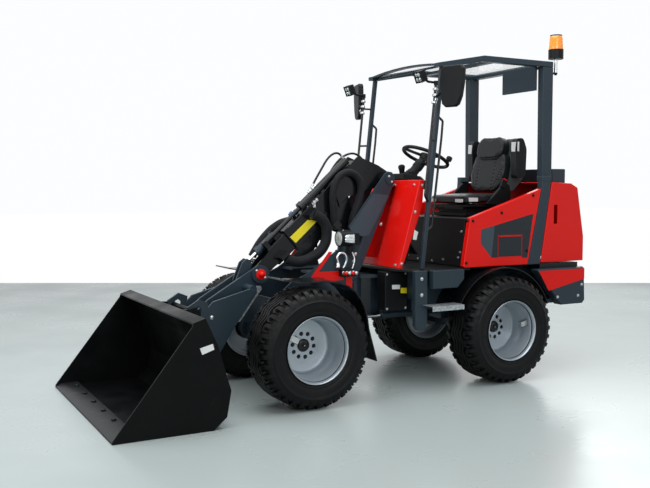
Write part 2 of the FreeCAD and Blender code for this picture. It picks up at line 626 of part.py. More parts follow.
def cab_fittings():
    """Make the lamps, mirrors, beacon, rails and steps that are fixed to the cab."""
    stay = rod("z", -1560, 428, 2170, 120, 9)
    arm = box(-1568, "roof_rear_x - 1", 416, 440, 2176, 2188)
    lens = DOC.addObject("Part::Cone", "Lens")
    bind(lens, Radius1=50, Radius2=43, Height=106, Placement__Base__x=-1560,
         Placement__Base__y=428, Placement__Base__z=2352)
    foot = rod("z", -1560, 428, 2286, 68, 54)
    subpart("beacon", fuse(stay, arm, foot, lens))
    case = group(eased_box("lamp_case", -22, 22, -38, 38, -38, 38, 4))
    case.Placement = Placement(Vector(-345, LAMP_Y, 2084), Rotation(Vector(0, 1, 0), 22))
    yoke = bent_bar([[(-358, LAMP_Y, 2078), (-405, LAMP_Y, 2053), (-468, LAMP_Y, 2050)]], 8, 12)
    knob = rod("z", -468, LAMP_Y, 2032, 30, 13)
    subpart("work_lamps", both(fuse(case, yoke, knob)))
    plate = group(prism("mirror", "YZ_Plane", -20, 20, MIRROR_FACE, ease=10))
    plate.Placement = Placement(Vector(-503, 603, 2015), Rotation(Vector(0, 0, 1), 18))
    mirror_arm = bent_bar([[(-459, LAMP_Y + 19, 1953), (-466, 525, 1982), (-492, 590, 2018)]],
                          8, 15)
    subpart("mirrors", both(fuse(plate, mirror_arm)))
    pole = [(-440, 426, 1255), (-388, LAMP_Y, 1300), (-450, LAMP_Y, 1870), (-467, LAMP_Y, 2030)]
    bar = [(-489, 426, 1670), (-430, LAMP_Y, 1668)]
    clip = [(-521, 426, 1946), (-458, LAMP_Y, 1950)]
    grab = [(-508, 424, 1838), (-556, 424, 1802), (-546, 424, 1690), (-470, 424, 1085),
            (-418, 424, 1050)]
    room = prism("rail_room", "XZ_Plane", "roof_half - 13.5 - front_post", "roof_half - 12.5",
                 [(-377.5, "deck_z + 2"), (-529.5, "roof_front_z - 22"),
                  ("-530.5 - front_post", "roof_front_z - 22"), ("-378.5 - front_post",
                                                                "deck_z + 2")])
    bars = fuse(*[bent_bar([route], radius, 18) for route, radius in
                  ((pole, 9), (bar, 7), (clip, 7), (grab, 8))])
    subpart("handrails", both(cut(bars, room)))
    tread = box(-600, -342, "cab_half + 14", "cab_half + 125", 570, 574)
    lip = box(-600, -342, "cab_half + 121", "cab_half + 125", 542, 574)
    end_lip = box(-600, -596, "cab_half + 14", "cab_half + 125", 542, 574)
    subpart("steps", both(fuse(tread, lip, end_lip)))
    tray = eased_box("side_box", "foot_front_x - 80", -180, 200, 300, 512, "deck_z - 18", 6)
    subpart("side_boxes", both(tray))


def hood():
    """Make the rear hood, a shell over the tail, and the air box on its top."""
    outline = [("hood_front_x + 96", "hood_low"), ("hood_front_x", "hood_top"),
               ("hood_front_x - 190", "hood_top - 8"), ("hood_rear_x + 70", "hood_top - 40"),
               ("hood_rear_x + 4", "hood_low + 180"), ("hood_rear_x + 4", "hood_low")]
    inside = [("hood_front_x + 140", "hood_low - 20"),
              ("hood_front_x + 40", "hood_top - hood_wall"),
              ("hood_front_x - 188", "hood_top - 8 - hood_wall"),
              ("hood_rear_x + 76", "hood_top - 48"), ("hood_rear_x + 12", "hood_low + 178"),
              ("hood_rear_x + 12", "hood_low - 20")]
    shell = cut(prism("hood", "XZ_Plane", "-cab_half", "cab_half", outline, ease=5),
                prism("hood_inside", "XZ_Plane", "-cab_half + hood_wall",
                      "cab_half - hood_wall", inside))
    slot = box(-1535, -1500, "cab_half - 20", "cab_half + 5", 1090, 1227)
    hinges = [rod("y", "hood_hinge_x", y, "hood_top - 6", 60, 10) for y in (-380, 320)]
    subpart("rear_hood", fuse(cut(shell, slot, mirrored(slot)), *hinges))
    subpart("air_box", prism("air_box", "XZ_Plane", -385, 385,
                             [(-1590, "hood_top - 3"), (-1668, "hood_top - 6"),
                              (-1717, "hood_top - 30"), (-1717, 1492), (-1590, 1492)], ease=8))


# ---------------------------------------------------------------- front frame and mast

MAST_BED = 717


def front_frame():
    """Make the front frame: side plates, floor, deck, gussets and the articulation sleeve."""
    side = prism("front_side", "XZ_Plane", "front_half - front_wall", "front_half",
                 [("front_rear_x", 470), ("front_rear_x", "deck_z"), (75, 905), (160, 937),
                  (368, "deck_z"), (500, "deck_z - 60"), ("front_nose_x", 640),
                  ("front_nose_x", "front_low"), (120, "front_low")])
    floor = prism("front_floor", "XY_Plane", "front_low", "front_low + front_wall",
                  [("front_nose_x", -235), ("front_nose_x", 235), ("front_rear_x + 70", 235),
                   (-20, 110), (-20, -110), ("front_rear_x + 70", -235)])
    nose = box("front_nose_x - front_wall", "front_nose_x", -235, 235, "front_low", 640)
    wing = prism("front_wing", "XY_Plane", 470, "deck_z - 95",
                 [(-60, 30), (-60, 50), (-25, 120), ("front_rear_x", "front_half"),
                  ("front_rear_x + 14", "front_half"), (0, 120), (-20, 30)])
    top = prism("front_deck", "XZ_Plane", 64, "front_half - 2",
                [("front_rear_x", "deck_z - 14"), (340, "deck_z - 14"), (340, "deck_z"),
                 ("front_rear_x", "deck_z")])
    sleeve = rod("z", "steer_x", 0, "ear_low + ear_thick + ear_gap",
                 "ear_high - ear_low - ear_thick - 2 * ear_gap", "sleeve_round")
    neck = box("steer_x + 10", -35, -42, 42, 480, 700)
    base = fuse(box("lift_base_x - 70", "lift_base_x + 60", 45, 61, 290, "front_low + 20"),
                rod("y", "lift_base_x", 45, "lift_base_z", 16, 40))
    bed = box("front_rear_x", "front_rear_x + 155", 60, "front_half - 2", MAST_BED - 12,
              MAST_BED)
    bed_rear = box(-45, "front_rear_x + 5", 60, 150, MAST_BED - 12, MAST_BED)
    clevis = [prism("steer_clevis", "XY_Plane", z, f"{z} + 10",
                    [(58, 215), (-45, 195), (-52, 170), (-45, 148), (58, 115)])
              for z in (STEER_RAM_Z - 42, STEER_RAM_Z + 32)]
    web = box(44, 60, 112, 228, STEER_RAM_Z - 42, STEER_RAM_Z + 42)
    clear = rod("z", "steer_x", 0, 0, 1200, "pin_round + pin_gap")
    parts = [floor, nose, sleeve, neck]
    for piece in (side, wing, top, base, bed, bed_rear, web):
        parts += [piece, mirrored(piece)]
    lift_room = box("lift_base_x - 90", "lift_base_x + 90", -44.5, 44.5, 200,
                    "front_low + 60")
    steer_room = rod("z", STEER_EYE_X, STEER_RAM_Y, STEER_RAM_Z - 32, 64, 59)
    subpart("front_frame", cut(fuse(*parts, *clevis), clear, lift_room, steer_room))


def mast():
    """Make the mast: two hooked plates joined by a rear web, a pin boss and the boom's pin."""
    outline = [("pivot_x - 38", "pivot_z - 20"), ("pivot_x - 38", "pivot_z + 20"),
               ("pivot_x - 18", "pivot_z + 48"), ("pivot_x + 16", "pivot_z + 53"),
               ("pivot_x + 44", "pivot_z + 34"), (9, 1087), (-10, 1046), (-104, 1014),
               (-35, 790), (20, 735), (20, MAST_BED), (-40, MAST_BED), (-40, 740), (-86, 794)]
    plate = prism("mast_plate", "XZ_Plane", "mast_inner", "mast_inner + mast_wall", outline, ease=2)
    web = prism("mast_web", "XZ_Plane", "-mast_inner - 2", "mast_inner + 2",
                [(-83, 800), (-270, 1190), (-262, 1194), (-75, 804), (-75, 780), (-83, 780)])
    collar = rod("y", "pivot_x", "mast_inner + mast_wall", "pivot_z", 8, "pivot_pin + 12")
    pin = rod("y", "pivot_x", "-mast_inner - mast_wall - 2", "pivot_z",
              "2 * (mast_inner + mast_wall + 2)", "pivot_pin")
    gland = box("pivot_x + 260", "pivot_x + 316", 66, "mast_inner + 2", 1040, 1064)
    subpart("mast", fuse(plate, mirrored(plate), web, pin, collar, mirrored(collar), gland))


def front_fenders():
    """Make the front fenders: a strip that follows each front tyre and ends in a straight flap."""
    strip = [(705, 800), (600, 780), (500, 779), (400, 776), (322, 766), (255, 741), (204, 704),
             (160, 646), (132, 586), (113, 520), (104, 459), (88, 400), (70, 340), (44, 244),
             (51, 242), (78, 338), (96, 398), (112, 458), (121, 518), (139, 582), (166, 641),
             (209, 698), (259, 734), (324, 758), (401, 768), (500, 771), (601, 772), (706, 792)]
    band = prism("fender", "XZ_Plane", "front_half + 70", "front_half + 322", strip)
    stay = box(300, 360, "front_half", "front_half + 80", 735, 766)
    subpart("front_fenders", both(fuse(band, stay)))


def front_fittings():
    """Make the headlamps and the coupler block on the front frame."""
    shell = fuse(rod("x", 70, 262, 1017, 80, 52), box(20, 75, 232, 292, 975, 1050),
                 box(60, 84, 225, 275, 925, 990))
    subpart("headlamps", both(shell))
    subpart("valve_block", fuse(eased_box("valve", 45, 150, 246, 292, 765, 815, 3),
                                box(60, 130, "front_half", 250, 770, 800)))


# ---------------------------------------------------------------- boom and rams

def boom_place():
    """Return the place of the boom's own frame: its pivot, with X along the boom."""
    return Placement(Vector(dim("pivot_x"), 0, dim("pivot_z")),
                     Rotation(Vector(0, 1, 0), dim("boom_slope")))


def boom_point(along, above):
    """Return a point of the boom's own frame in the machine's frame."""
    return boom_place().multVec(Vector(along, 0, above))


def outer_boom(barrel):
    """Make the outer boom: a square tube, cheeks round its pivot and the lift ram's lug."""
    low, high = "boom_offset - boom_high / 2", "boom_offset + boom_high / 2"
    tube = cut(eased_box("boom_tube", "boom_start", "boom_end", "-boom_wide / 2",
                         "boom_wide / 2", low, high, 6),
               box("boom_start + tube_wall", "boom_end + 5", "-boom_wide / 2 + tube_wall",
                   "boom_wide / 2 - tube_wall", f"{low} + tube_wall", f"{high} - tube_wall"))
    cheek = prism("boom_cheek", "XZ_Plane", "boom_wide / 2 - 2", "boom_wide / 2 + cheek_wall",
                  [(-52, -18), (-50, 20), (-20, 110), (60, high), (330, high), (400, low),
                   (330, "boom_offset - 60"), (150, 40), (50, -30), (14, -54), (-30, -44)])
    boss = rod("y", 0, "-mast_inner + 4", 0, "2 * mast_inner - 8", 46)
    stop = box("boom_end - 40", "boom_end", "-boom_wide / 2 - 6", "boom_wide / 2 + 6",
               f"{low} - 6", f"{high} + 6")
    stop_hollow = box("boom_end - 60", "boom_end + 5", "-boom_wide / 2 + tube_wall",
                      "boom_wide / 2 - tube_wall", f"{low} + tube_wall", f"{high} - tube_wall")
    lug = prism("lift_lug", "XZ_Plane", 33, 45,
                [("lift_lug_along - 130", f"{low} + 2"), ("lift_lug_along - 30",
                  "lift_lug_drop - 26"), ("lift_lug_along", "lift_lug_drop - 36"),
                 ("lift_lug_along + 32", "lift_lug_drop - 20"),
                 ("lift_lug_along + 150", f"{low} + 2")])
    near_clamp = fuse(box(497, 528, 60, 76, 62, 150), box(494, 539, 60, 136, 22, 76))
    upper_clamp = box(552, 628, 60, 122, 200, 238)
    far_clamp = box(565, 622, -138, -60, 148, 212)
    parts = [tube, cut(stop, stop_hollow), boss, barrel, near_clamp, upper_clamp, far_clamp]
    for piece in (cheek, lug):
        parts += [piece, mirrored(piece)]
    bore = rod("y", 0, -200, 0, 400, "pivot_pin + pin_gap")
    subpart("outer_boom", cut(fuse(*parts), bore), boom_place())


def telescope_ram():
    """Return the telescope ram on top of the boom: its barrel and the rod that it pushes."""
    saddle = [box(x, f"{x} + 26", "ram_side - 26", "ram_side + 18", "boom_offset + boom_high / 2",
                  "ram_top - 10") for x in (175, 540)]
    barrel = fuse(rod("x", 140, "ram_side", "ram_top", 472, 29),
                  rod("x", 592, "ram_side", "ram_top", 30, 35), *saddle)
    bore = rod("x", 158, "ram_side", "ram_top", 470, 15.05)
    bracket = box("inner_end - 34", "inner_end - 4", "ram_side - 16", "ram_side + 16",
                  "boom_offset + inner_high / 2", "ram_top + 16")
    stem = rod("x", 166, "ram_side", "ram_top", "inner_end - 20 - 166", 15)
    return cut(barrel, bore), fuse(stem, bracket)


def inner_boom(stem):
    """Make the inner boom: the sliding tube and the fork that carries the tool."""
    low, high = "boom_offset - inner_high / 2", "boom_offset + inner_high / 2"
    tube = cut(eased_box("inner_tube", "inner_start", "inner_end", "-inner_wide / 2",
                         "inner_wide / 2", low, high, 6),
               box("inner_start - 5", "inner_end - 20", "-inner_wide / 2 + tube_wall",
                   "inner_wide / 2 - tube_wall", f"{low} + tube_wall", f"{high} - tube_wall"))
    cheek = prism("fork_cheek", "XZ_Plane", "inner_wide / 2 - 12", "inner_wide / 2",
                  [("inner_end - 60", f"{low} + 2"), ("inner_end + 30", "boom_offset - 50"),
                   ("head_reach", "boom_offset - fork_half"), ("head_reach",
                    "boom_offset + fork_half"), ("inner_end + 30", "boom_offset + 50"),
                   ("inner_end - 60", f"{high} - 2")])
    tip = rod("y", "head_reach", "inner_wide / 2 - 12", "boom_offset", 12, "fork_half")
    post = fuse(box("tilt_base_along - 30", "tilt_base_along + 24", 28, 38, f"{high} - 4",
                    "boom_offset + tilt_lever"),
                rod("y", "tilt_base_along", 28, "boom_offset + tilt_lever", 10, 24))
    near_gland = box("inner_end - 86", "inner_end - 17", 48, 118, "boom_offset - 38",
                     "boom_offset - 14")
    far_gland = box("inner_end + 66", "inner_end + 86", -130, -44, "boom_offset + 18",
                    "boom_offset + 40")
    parts = [tube, stem, near_gland, far_gland]
    for piece in (cheek, tip, post):
        parts += [piece, mirrored(piece)]
    bore = rod("y", "head_reach", -200, "boom_offset", 400, "pin_round - 5 + pin_gap")
    slot_low, slot_high = "boom_offset + 32", f"{high} + 8"
    slot = fuse(box(870, "inner_end + 5", -27.8, 27.8, slot_low, slot_high),
                box(896, "inner_end + 5", -32, 29.9, slot_low, slot_high))
    subpart("inner_boom", cut(fuse(*parts), bore, slot), boom_place())
    stub = fuse(rod("y", "head_reach", 36, "boom_offset", 50, "pin_round - 5"),
                rod("y", "head_reach", "arm_inner + arm_wall + 2", "boom_offset", 16, 60))
    subpart("head_pins", both(stub), boom_place())


def ram(base, tip, barrel_end, barrel_radius, rod_start, rod_radius, gland, eye, halves, names):
    """Make a ram between two eyes: a hollow barrel with a gland, and the rod inside it.

    The eyes turn about Y, and halves are half their widths at the base and at the tip.
    barrel_end and rod_start are distances from the base eye, and gland is the bore's radius
    at the barrel's end.
    """
    half, tip_half = halves
    length = (tip - base).Length
    place = Placement(base, Rotation(Vector(1, 0, 0), tip - base))
    tube = fuse(rod("y", 0, -half, 0, 2 * half, eye),
                rod("x", eye - 6, 0, 0, barrel_end - eye + 6, barrel_radius),
                rod("x", barrel_end - 34, 0, 0, 34, barrel_radius + 5))
    hollow = fuse(rod("x", eye + 14, 0, 0, barrel_end - eye - 40, barrel_radius - 7),
                  rod("x", eye + 14, 0, 0, barrel_end, gland),
                  rod("y", 0, -2 * half, 0, 4 * half, eye * 0.5))
    subpart(names[0], cut(tube, hollow), place)
    stem = fuse(rod("x", rod_start, 0, 0, length - rod_start - eye * 0.6, rod_radius),
                rod("y", length, -tip_half, 0, 2 * tip_half, eye))
    subpart(names[1], stem, place)


def rams():
    """Make the lift ram and the tilt ram."""
    lug = boom_point(dim("lift_lug_along"), dim("lift_lug_drop"))
    foot = Vector(dim("lift_base_x"), 0, dim("lift_base_z"))
    ram(foot, lug, 700, dim("lift_barrel"), 110, dim("lift_rod"), dim("lift_rod") + 0.05,
        dim("lift_eye"), (44, 28), ("lift_barrel", "lift_rod"))
    base = boom_point(dim("tilt_base_along"), dim("boom_offset") + dim("tilt_lever"))
    tip = boom_point(dim("head_reach"), dim("boom_offset") + dim("tilt_lever"))
    ram(base, tip, 172, 25, 76, 11, 17.55, 17, (26, 17), ("tilt_barrel", "tilt_rod"))
    stage = cut(rod("x", 36, 0, 0, 134, 17.5), rod("x", 30, 0, 0, 150, 11.05))
    subpart("tilt_piston", stage, Placement(base, Rotation(Vector(1, 0, 0), tip - base)))


def steer_ram():
    """Make the steering ram, which lies flat beside the articulation axis."""
    place = Placement(Vector(STEER_BASE_X, STEER_RAM_Y, STEER_RAM_Z), Rotation())
    length = STEER_EYE_X - STEER_BASE_X
    barrel = fuse(rod("z", 0, 0, -24, 48, 26), rod("x", 18, 0, 0, 340, 26),
                  rod("x", 330, 0, 0, 32, 30))
    hollow = fuse(rod("x", 40, 0, 0, 300, 19), rod("x", 40, 0, 0, 400, 12.05))
    subpart("steer_barrel", cut(barrel, hollow), place)
    subpart("steer_rod", fuse(rod("x", 190, 0, 0, length - 190 - 10, 12),
                              rod("z", length, 0, -24, 48, 24)), place)


# ---------------------------------------------------------------- hoses

SLEEVE = 25
WIDE_SLEEVE = 28
LINE = 7.5
HOSES = {
    "loop_hose": (SLEEVE, [
        (-32, 94, 1069), (-37, 95, 1127), (-58, 100, 1192), (-88, 104, 1258),
        (-106, 105, 1330), (-98, 105, 1398), (-58, 105, 1444), (0, 105, 1461), (57, 105, 1441),
        (99, 105, 1388), (117, 105, 1318), (116, 105, 1245), (108, 105, 1170),
        (104, 105, 1098)]),
    "under_hose": (WIDE_SLEEVE + 8, [
        (262, 103, 1176), (222, 106, 1158), (186, 108, 1124), (168, 108, 1082),
        (164, 108, 1036), (172, 108, 990), (194, 108, 948), (228, 108, 914), (272, 107, 888),
        (322, 105, 868), (372, 101, 858), (420, 95, 864), (460, 91, 884)]),
    "far_hose": (WIDE_SLEEVE, [
        (262, -104, 1136), (312, -106, 1131), (368, -107, 1123), (425, -107, 1104),
        (478, -106, 1070), (526, -105, 1026), (569, -104, 976), (602, -103, 928),
        (622, -102, 892)]),
    "front_arch_hose": (LINE, [
        (252, 46, 1348), (238, 47, 1375), (218, 48, 1410), (195, 49, 1447), (170, 50, 1487),
        (140, 50, 1535), (104, 50, 1573), (61, 50, 1592), (24, 50, 1578), (12, 50, 1556)]),
    "rear_arch_hose": (LINE, [
        (124, -8, 1386), (108, -8, 1412), (84, -8, 1446), (56, -8, 1487), (24, -8, 1527),
        (-14, -8, 1561), (-58, -8, 1584), (-106, -8, 1593), (-152, -8, 1578), (-189, -8, 1545),
        (-206, -8, 1500), (-197, -8, 1463), (-160, -8, 1449)]),
}


def hoses():
    """Make the sleeved hoses beside the boom and the two thin hoses that arch over it."""
    for label, (radius, route) in HOSES.items():
        points = [Vector(*point) for point in route]
        radii = bend_radii(points)
        feature = DOC.addObject("Part::Feature", f"{label}_tube")
        feature.Shape, length = tube_along(points, radius, radii)
        section = math.pi * radius ** 2
        print(f"{label:16s} length {length:6.0f}  smallest bend {min(radii):4.0f}  largest "
              f"{max(radii):4.0f}  volume over section x length "
              f"{feature.Shape.Volume / (section * length):.4f}")
        subpart(label, feature)


# ---------------------------------------------------------------- carrier and bucket

def head_expressions():
    """Return the tool pin's place as expressions, and the tilt lug's."""
    head_x = "(pivot_x + head_reach * cos(boom_slope) + boom_offset * sin(boom_slope))"
    head_z = "(pivot_z - head_reach * sin(boom_slope) + boom_offset * cos(boom_slope))"
    lug_x = f"({head_x} + tilt_lever * sin(boom_slope))"
    lug_z = f"({head_z} + tilt_lever * cos(boom_slope))"
    return head_x, head_z, lug_x, lug_z


BUCKET_PIN = (1140, -232, 588)


def carrier():
    """Make the tool carrier: arms from the tool pin down to the hitch that holds the bucket."""
    head_x, head_z, lug_x, lug_z = head_expressions()
    arm = prism("carrier_arm", "XZ_Plane", "arm_inner", "arm_inner + arm_wall",
                [(600, 806), (628, 838), (672, 838), (740, 800), (1010, 640), (1100, 560),
                 (1188, 478), (1112, 220), (1040, 222), (860, 490), (740, 668), (612, 752)],
                ease=3)
    plate = prism("carrier_side", "XZ_Plane", "frame_plate_out - 16", "frame_plate_out",
                  [(716, 690), (770, 712), (1020, 645), (1100, 560), (1188, 478), (1112, 220),
                   (1040, 222), (872, 478)], ease=3)
    hitch = prism("hitch_plate", "XZ_Plane", "-hitch_half", "hitch_half",
                  [(1104, 215), (1122, 215), (1199, 478), (1181, 480)])
    lug = prism("tilt_lug", "XZ_Plane", 20, 32,
                [(f"{lug_x} - 26", f"{lug_z} - 12"), (f"{lug_x} - 22", f"{lug_z} + 18"),
                 (f"{lug_x} + 8", f"{lug_z} + 28"), (f"{lug_x} + 40", f"{lug_z} + 4"),
                 (800, 742), (770, 672), (728, 690), (700, 790)])
    bars = [rod("y", 745, -198, 708, 396, 24), rod("y", 930, "-frame_plate_out + 3", 560,
                                                   "2 * frame_plate_out - 6", 24),
            rod("y", 1075, "-frame_plate_out + 3", 270, "2 * frame_plate_out - 6", 26)]
    hook = prism("hitch_hook", "XZ_Plane", "frame_plate_out - 16", "frame_plate_out",
                 [(1060, 560), (1050, 640), (1110, 665), (1185, 620), (1182, 575), (1165, 575),
                  (1160, 600), (1115, 625), (1095, 605), (1110, 500)])
    parts = [hitch, *bars]
    for piece in (arm, plate, lug, hook):
        parts += [piece, mirrored(piece)]
    bore = rod("y", head_x, -300, head_z, 600, "pin_round - 5 + pin_gap")
    hook_room = rod("y", *BUCKET_PIN, 480, 19)
    subpart("tool_carrier", cut(fuse(*parts), bore, hook_room))


def bucket():
    """Make the bucket: a bent shell between two side plates, its cutting edge and its ears."""
    profile = [("bucket_lip_x", 0), ("bucket_heel_x", 0), (1151, 67), (1125, 215), (1202, 477),
               (1274, 635), (1344, 613), (1352, 590), ("bucket_lip_x", 14)]
    inside = [("bucket_lip_x + 60", "bucket_wall"), ("bucket_heel_x + 4", "bucket_wall"),
              (1159, 72), (1134, 215), (1210, 475), (1279, 624), (1341, 605), (1420, 605),
              ("bucket_lip_x + 60", 605)]
    shell = cut(prism("bucket_outer", "XZ_Plane", "-bucket_half", "bucket_half", profile),
                prism("bucket_inner", "XZ_Plane", "-bucket_half + bucket_wall",
                      "bucket_half - bucket_wall", inside))
    ear = prism("bucket_ear", "XZ_Plane", "frame_plate_out + 8", "frame_plate_out + 24",
                [(1213, 492), (1190, 492), (1120, 545), (1112, 590), (1140, 618), (1180, 610),
                 (1262, 612)])
    pin = rod("y", *BUCKET_PIN, 464, 18)
    edge = prism("edge", "XZ_Plane", "-bucket_half + bucket_wall - 1",
                 "bucket_half - bucket_wall + 1",
                 [("bucket_lip_x - edge_wide", "bucket_wall - 1"),
                  ("bucket_lip_x - edge_wide", "bucket_wall + edge_thick"),
                  ("bucket_lip_x - 40", "bucket_wall + edge_thick"),
                  ("bucket_lip_x - 2", "bucket_wall + 1"),
                  ("bucket_lip_x - 2", "bucket_wall - 1")])
    subpart("bucket", fuse(shell, ear, mirrored(ear), pin, edge))


# ---------------------------------------------------------------- the whole machine

def build():
    """Make every sub-part."""
    fill_sheet()
    running_gear()
    rear_frame()
    battery()
    rear_fenders()
    bumper()
    deck()
    side_panels()
    cowl()
    console()
    steering_wheel()
    posts()
    seat()
    cab_fittings()
    hood()
    front_frame()
    mast()
    front_fenders()
    front_fittings()
    barrel, stem = telescope_ram()
    outer_boom(barrel)
    inner_boom(stem)
    rams()
    steer_ram()
    hoses()
    carrier()
    bucket()
    DOC.recompute()


def check():
    """Stop if anything failed to build."""
    faults = [f"{obj.Label} ({obj.Name}, used by {[user.Label for user in obj.InList]})"
              for obj in DOC.Objects if {"Invalid", "Error"} & set(obj.State)]
    for obj in SUBPARTS:
        if obj.Shape.isNull() or not obj.Shape.isValid() or not obj.Shape.Solids:
            faults.append(f"{obj.Label} has no valid shape")
    if faults:
        raise RuntimeError("; ".join(faults))


def export():
    """Write one STEP file for each sub-part."""
    os.makedirs("parts", exist_ok=True)
    for obj in SUBPARTS:
        obj.Shape.exportStep(f"parts/{obj.Label}.step")
        print(f"{obj.Label:16s} solids {len(obj.Shape.Solids):2d}  "
              f"volume {obj.Shape.Volume / 1e6:9.3f} l")


build()
check()
export()
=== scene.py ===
"""Looks of a mini wheel loader: tyres, paint, seat, hoses, lamps and trim round its CAD frame."""

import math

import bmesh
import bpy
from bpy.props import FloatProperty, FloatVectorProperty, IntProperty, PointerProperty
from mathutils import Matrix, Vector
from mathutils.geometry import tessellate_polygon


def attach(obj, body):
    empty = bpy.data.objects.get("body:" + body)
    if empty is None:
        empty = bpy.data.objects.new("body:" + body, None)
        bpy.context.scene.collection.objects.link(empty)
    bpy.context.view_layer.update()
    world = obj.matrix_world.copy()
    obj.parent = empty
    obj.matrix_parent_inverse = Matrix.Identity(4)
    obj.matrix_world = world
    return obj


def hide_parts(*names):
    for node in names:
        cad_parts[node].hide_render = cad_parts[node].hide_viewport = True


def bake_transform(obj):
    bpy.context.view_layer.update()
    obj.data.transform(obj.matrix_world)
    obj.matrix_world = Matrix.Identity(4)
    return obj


bl_info = {
    "name": "Mini wheel loader",
    "version": (1, 0, 0),
    "blender": (4, 5, 0),
    "location": "View3D > Sidebar > Loader",
    "description": "Builds the visible pieces of a mini wheel loader round its CAD frame",
    "category": "Add Mesh",
}

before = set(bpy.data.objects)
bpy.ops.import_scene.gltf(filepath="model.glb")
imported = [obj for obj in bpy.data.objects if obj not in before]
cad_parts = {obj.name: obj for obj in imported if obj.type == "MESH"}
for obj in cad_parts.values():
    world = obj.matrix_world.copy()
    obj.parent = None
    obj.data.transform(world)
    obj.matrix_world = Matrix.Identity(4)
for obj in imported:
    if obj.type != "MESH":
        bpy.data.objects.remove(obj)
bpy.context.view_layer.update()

MM = 0.001

# name: axle's place along the machine, side, turn of the tyre's tread, turn of the valve
CORNERS = {"front_left": (0.5175, 1, 0.03, 1.09), "front_right": (0.5175, -1, 0.9, 2.4),
           "rear_left": (-0.9975, 1, 0.5, -1.36), "rear_right": (-0.9975, -1, 1.3, 0.3)}
WHEEL_Y = 0.504     # distance of a wheel's middle from the machine's middle
WHEEL_Z = 0.3685    # height of the axles
COLUMN_FOOT = (-560, 0, 1415)       # the steering column's lower end and the wheel's hub, in mm
WHEEL_HUB = (-715, 0, 1575)


# ---------------------------------------------------------------- small mesh tools

def mm(*values):
    """Return a point given in millimetres."""
    return Vector(values) * MM


def frame_along(direction):
    """Return a turn whose Z axis points along a direction, with X as near upright as may be."""
    ahead = Vector(direction).normalized()
    side = Vector((0, 0, 1)).cross(ahead)
    if side.length < 1e-4:
        side = Vector((1, 0, 0)).cross(ahead)
    side.normalize()
    return Matrix((side.cross(ahead) * -1, side, ahead)).transposed()


def loft(mesh, rings, caps=True):
    """Join closed rings of points, each with the same count, by quads, and cap the two ends."""
    rows = [[mesh.verts.new(point) for point in ring] for ring in rings]
    count = len(rows[0])
    for low, high in zip(rows, rows[1:]):
        for i in range(count):
            j = (i + 1) % count
            mesh.faces.new((low[i], low[j], high[j], high[i]))
    if caps:
        mesh.faces.new(reversed(rows[0]))
        mesh.faces.new(rows[-1])
    return rows


def ring_points(centre, turn, radius, steps):
    """Return points round a circle that is square to a turn's Z axis."""
    return [centre + turn @ Vector((radius * math.cos(2 * math.pi * i / steps),
                                    radius * math.sin(2 * math.pi * i / steps), 0))
            for i in range(steps)]


def turned(mesh, origin, direction, profile, steps=32):
    """Turn a profile of (distance along the axis, radius) round an axis, closed at its ends."""
    turn = frame_along(direction)
    ahead = Vector(direction).normalized()
    origin = Vector(origin)
    rings = [ring_points(origin + ahead * along, turn, max(radius, 1e-5), steps)
             for along, radius in profile]
    loft(mesh, rings)


def bar(mesh, start, end, radius, steps=12):
    """Add a round bar between two points."""
    start, end = Vector(start), Vector(end)
    turned(mesh, start, end - start, [(0, radius), ((end - start).length, radius)], steps)


def slab(mesh, outline, low, high, plane="XZ"):
    """Raise a flat outline between two distances along the axis that is square to its plane."""
    put = {"XZ": lambda a, b, c: (a, c, b), "YZ": lambda a, b, c: (c, a, b),
           "XY": lambda a, b, c: (a, b, c)}[plane]
    below = [mesh.verts.new(put(a, b, low)) for a, b in outline]
    above = [mesh.verts.new(put(a, b, high)) for a, b in outline]
    count = len(outline)
    for i in range(count):
        j = (i + 1) % count
        mesh.faces.new((below[i], below[j], above[j], above[i]))
    flat = [[Vector((a, b, 0)) for a, b in outline]]
    for triangle in tessellate_polygon(flat):
        mesh.faces.new([above[i] for i in triangle])
        mesh.faces.new([below[i] for i in reversed(triangle)])


def side_slab(mesh, outline, side, near, far):
    """Raise an outline in x and z between two distances from the middle, on one side of it."""
    low, high = sorted((side * near, side * far))
    slab(mesh, outline, low, high, "XZ")


def block(mesh, low, high, turn=None, centre=None):
    """Add a box between two corners, turned about a centre if one is given."""
    x, y, z = zip(low, high)
    corners = [Vector((x[i], y[j], z[k])) for i, j, k in
               ((0, 0, 0), (1, 0, 0), (1, 1, 0), (0, 1, 0), (0, 0, 1), (1, 0, 1), (1, 1, 1),
                (0, 1, 1))]
    if turn is not None:
        corners = [centre + turn @ (corner - centre) for corner in corners]
    verts = [mesh.verts.new(corner) for corner in corners]
    for face in ((3, 2, 1, 0), (4, 5, 6, 7), (0, 1, 5, 4), (1, 2, 6, 5), (2, 3, 7, 6),
                 (3, 0, 4, 7)):
        mesh.faces.new([verts[i] for i in face])


def hex_bolt(mesh, point, direction, across):
    """Add a hexagon head with a washer, standing on a surface along a direction."""
    point, direction = Vector(point), Vector(direction).normalized()
    radius = across / 1.732
    turned(mesh, point, direction, [(-0.001, across * 0.72), (0.0022, across * 0.72)], 20)
    high = across * 0.38
    turned(mesh, point + direction * 0.002, direction,
           [(0, radius), (high * 0.85, radius), (high, radius * 0.86)], 6)


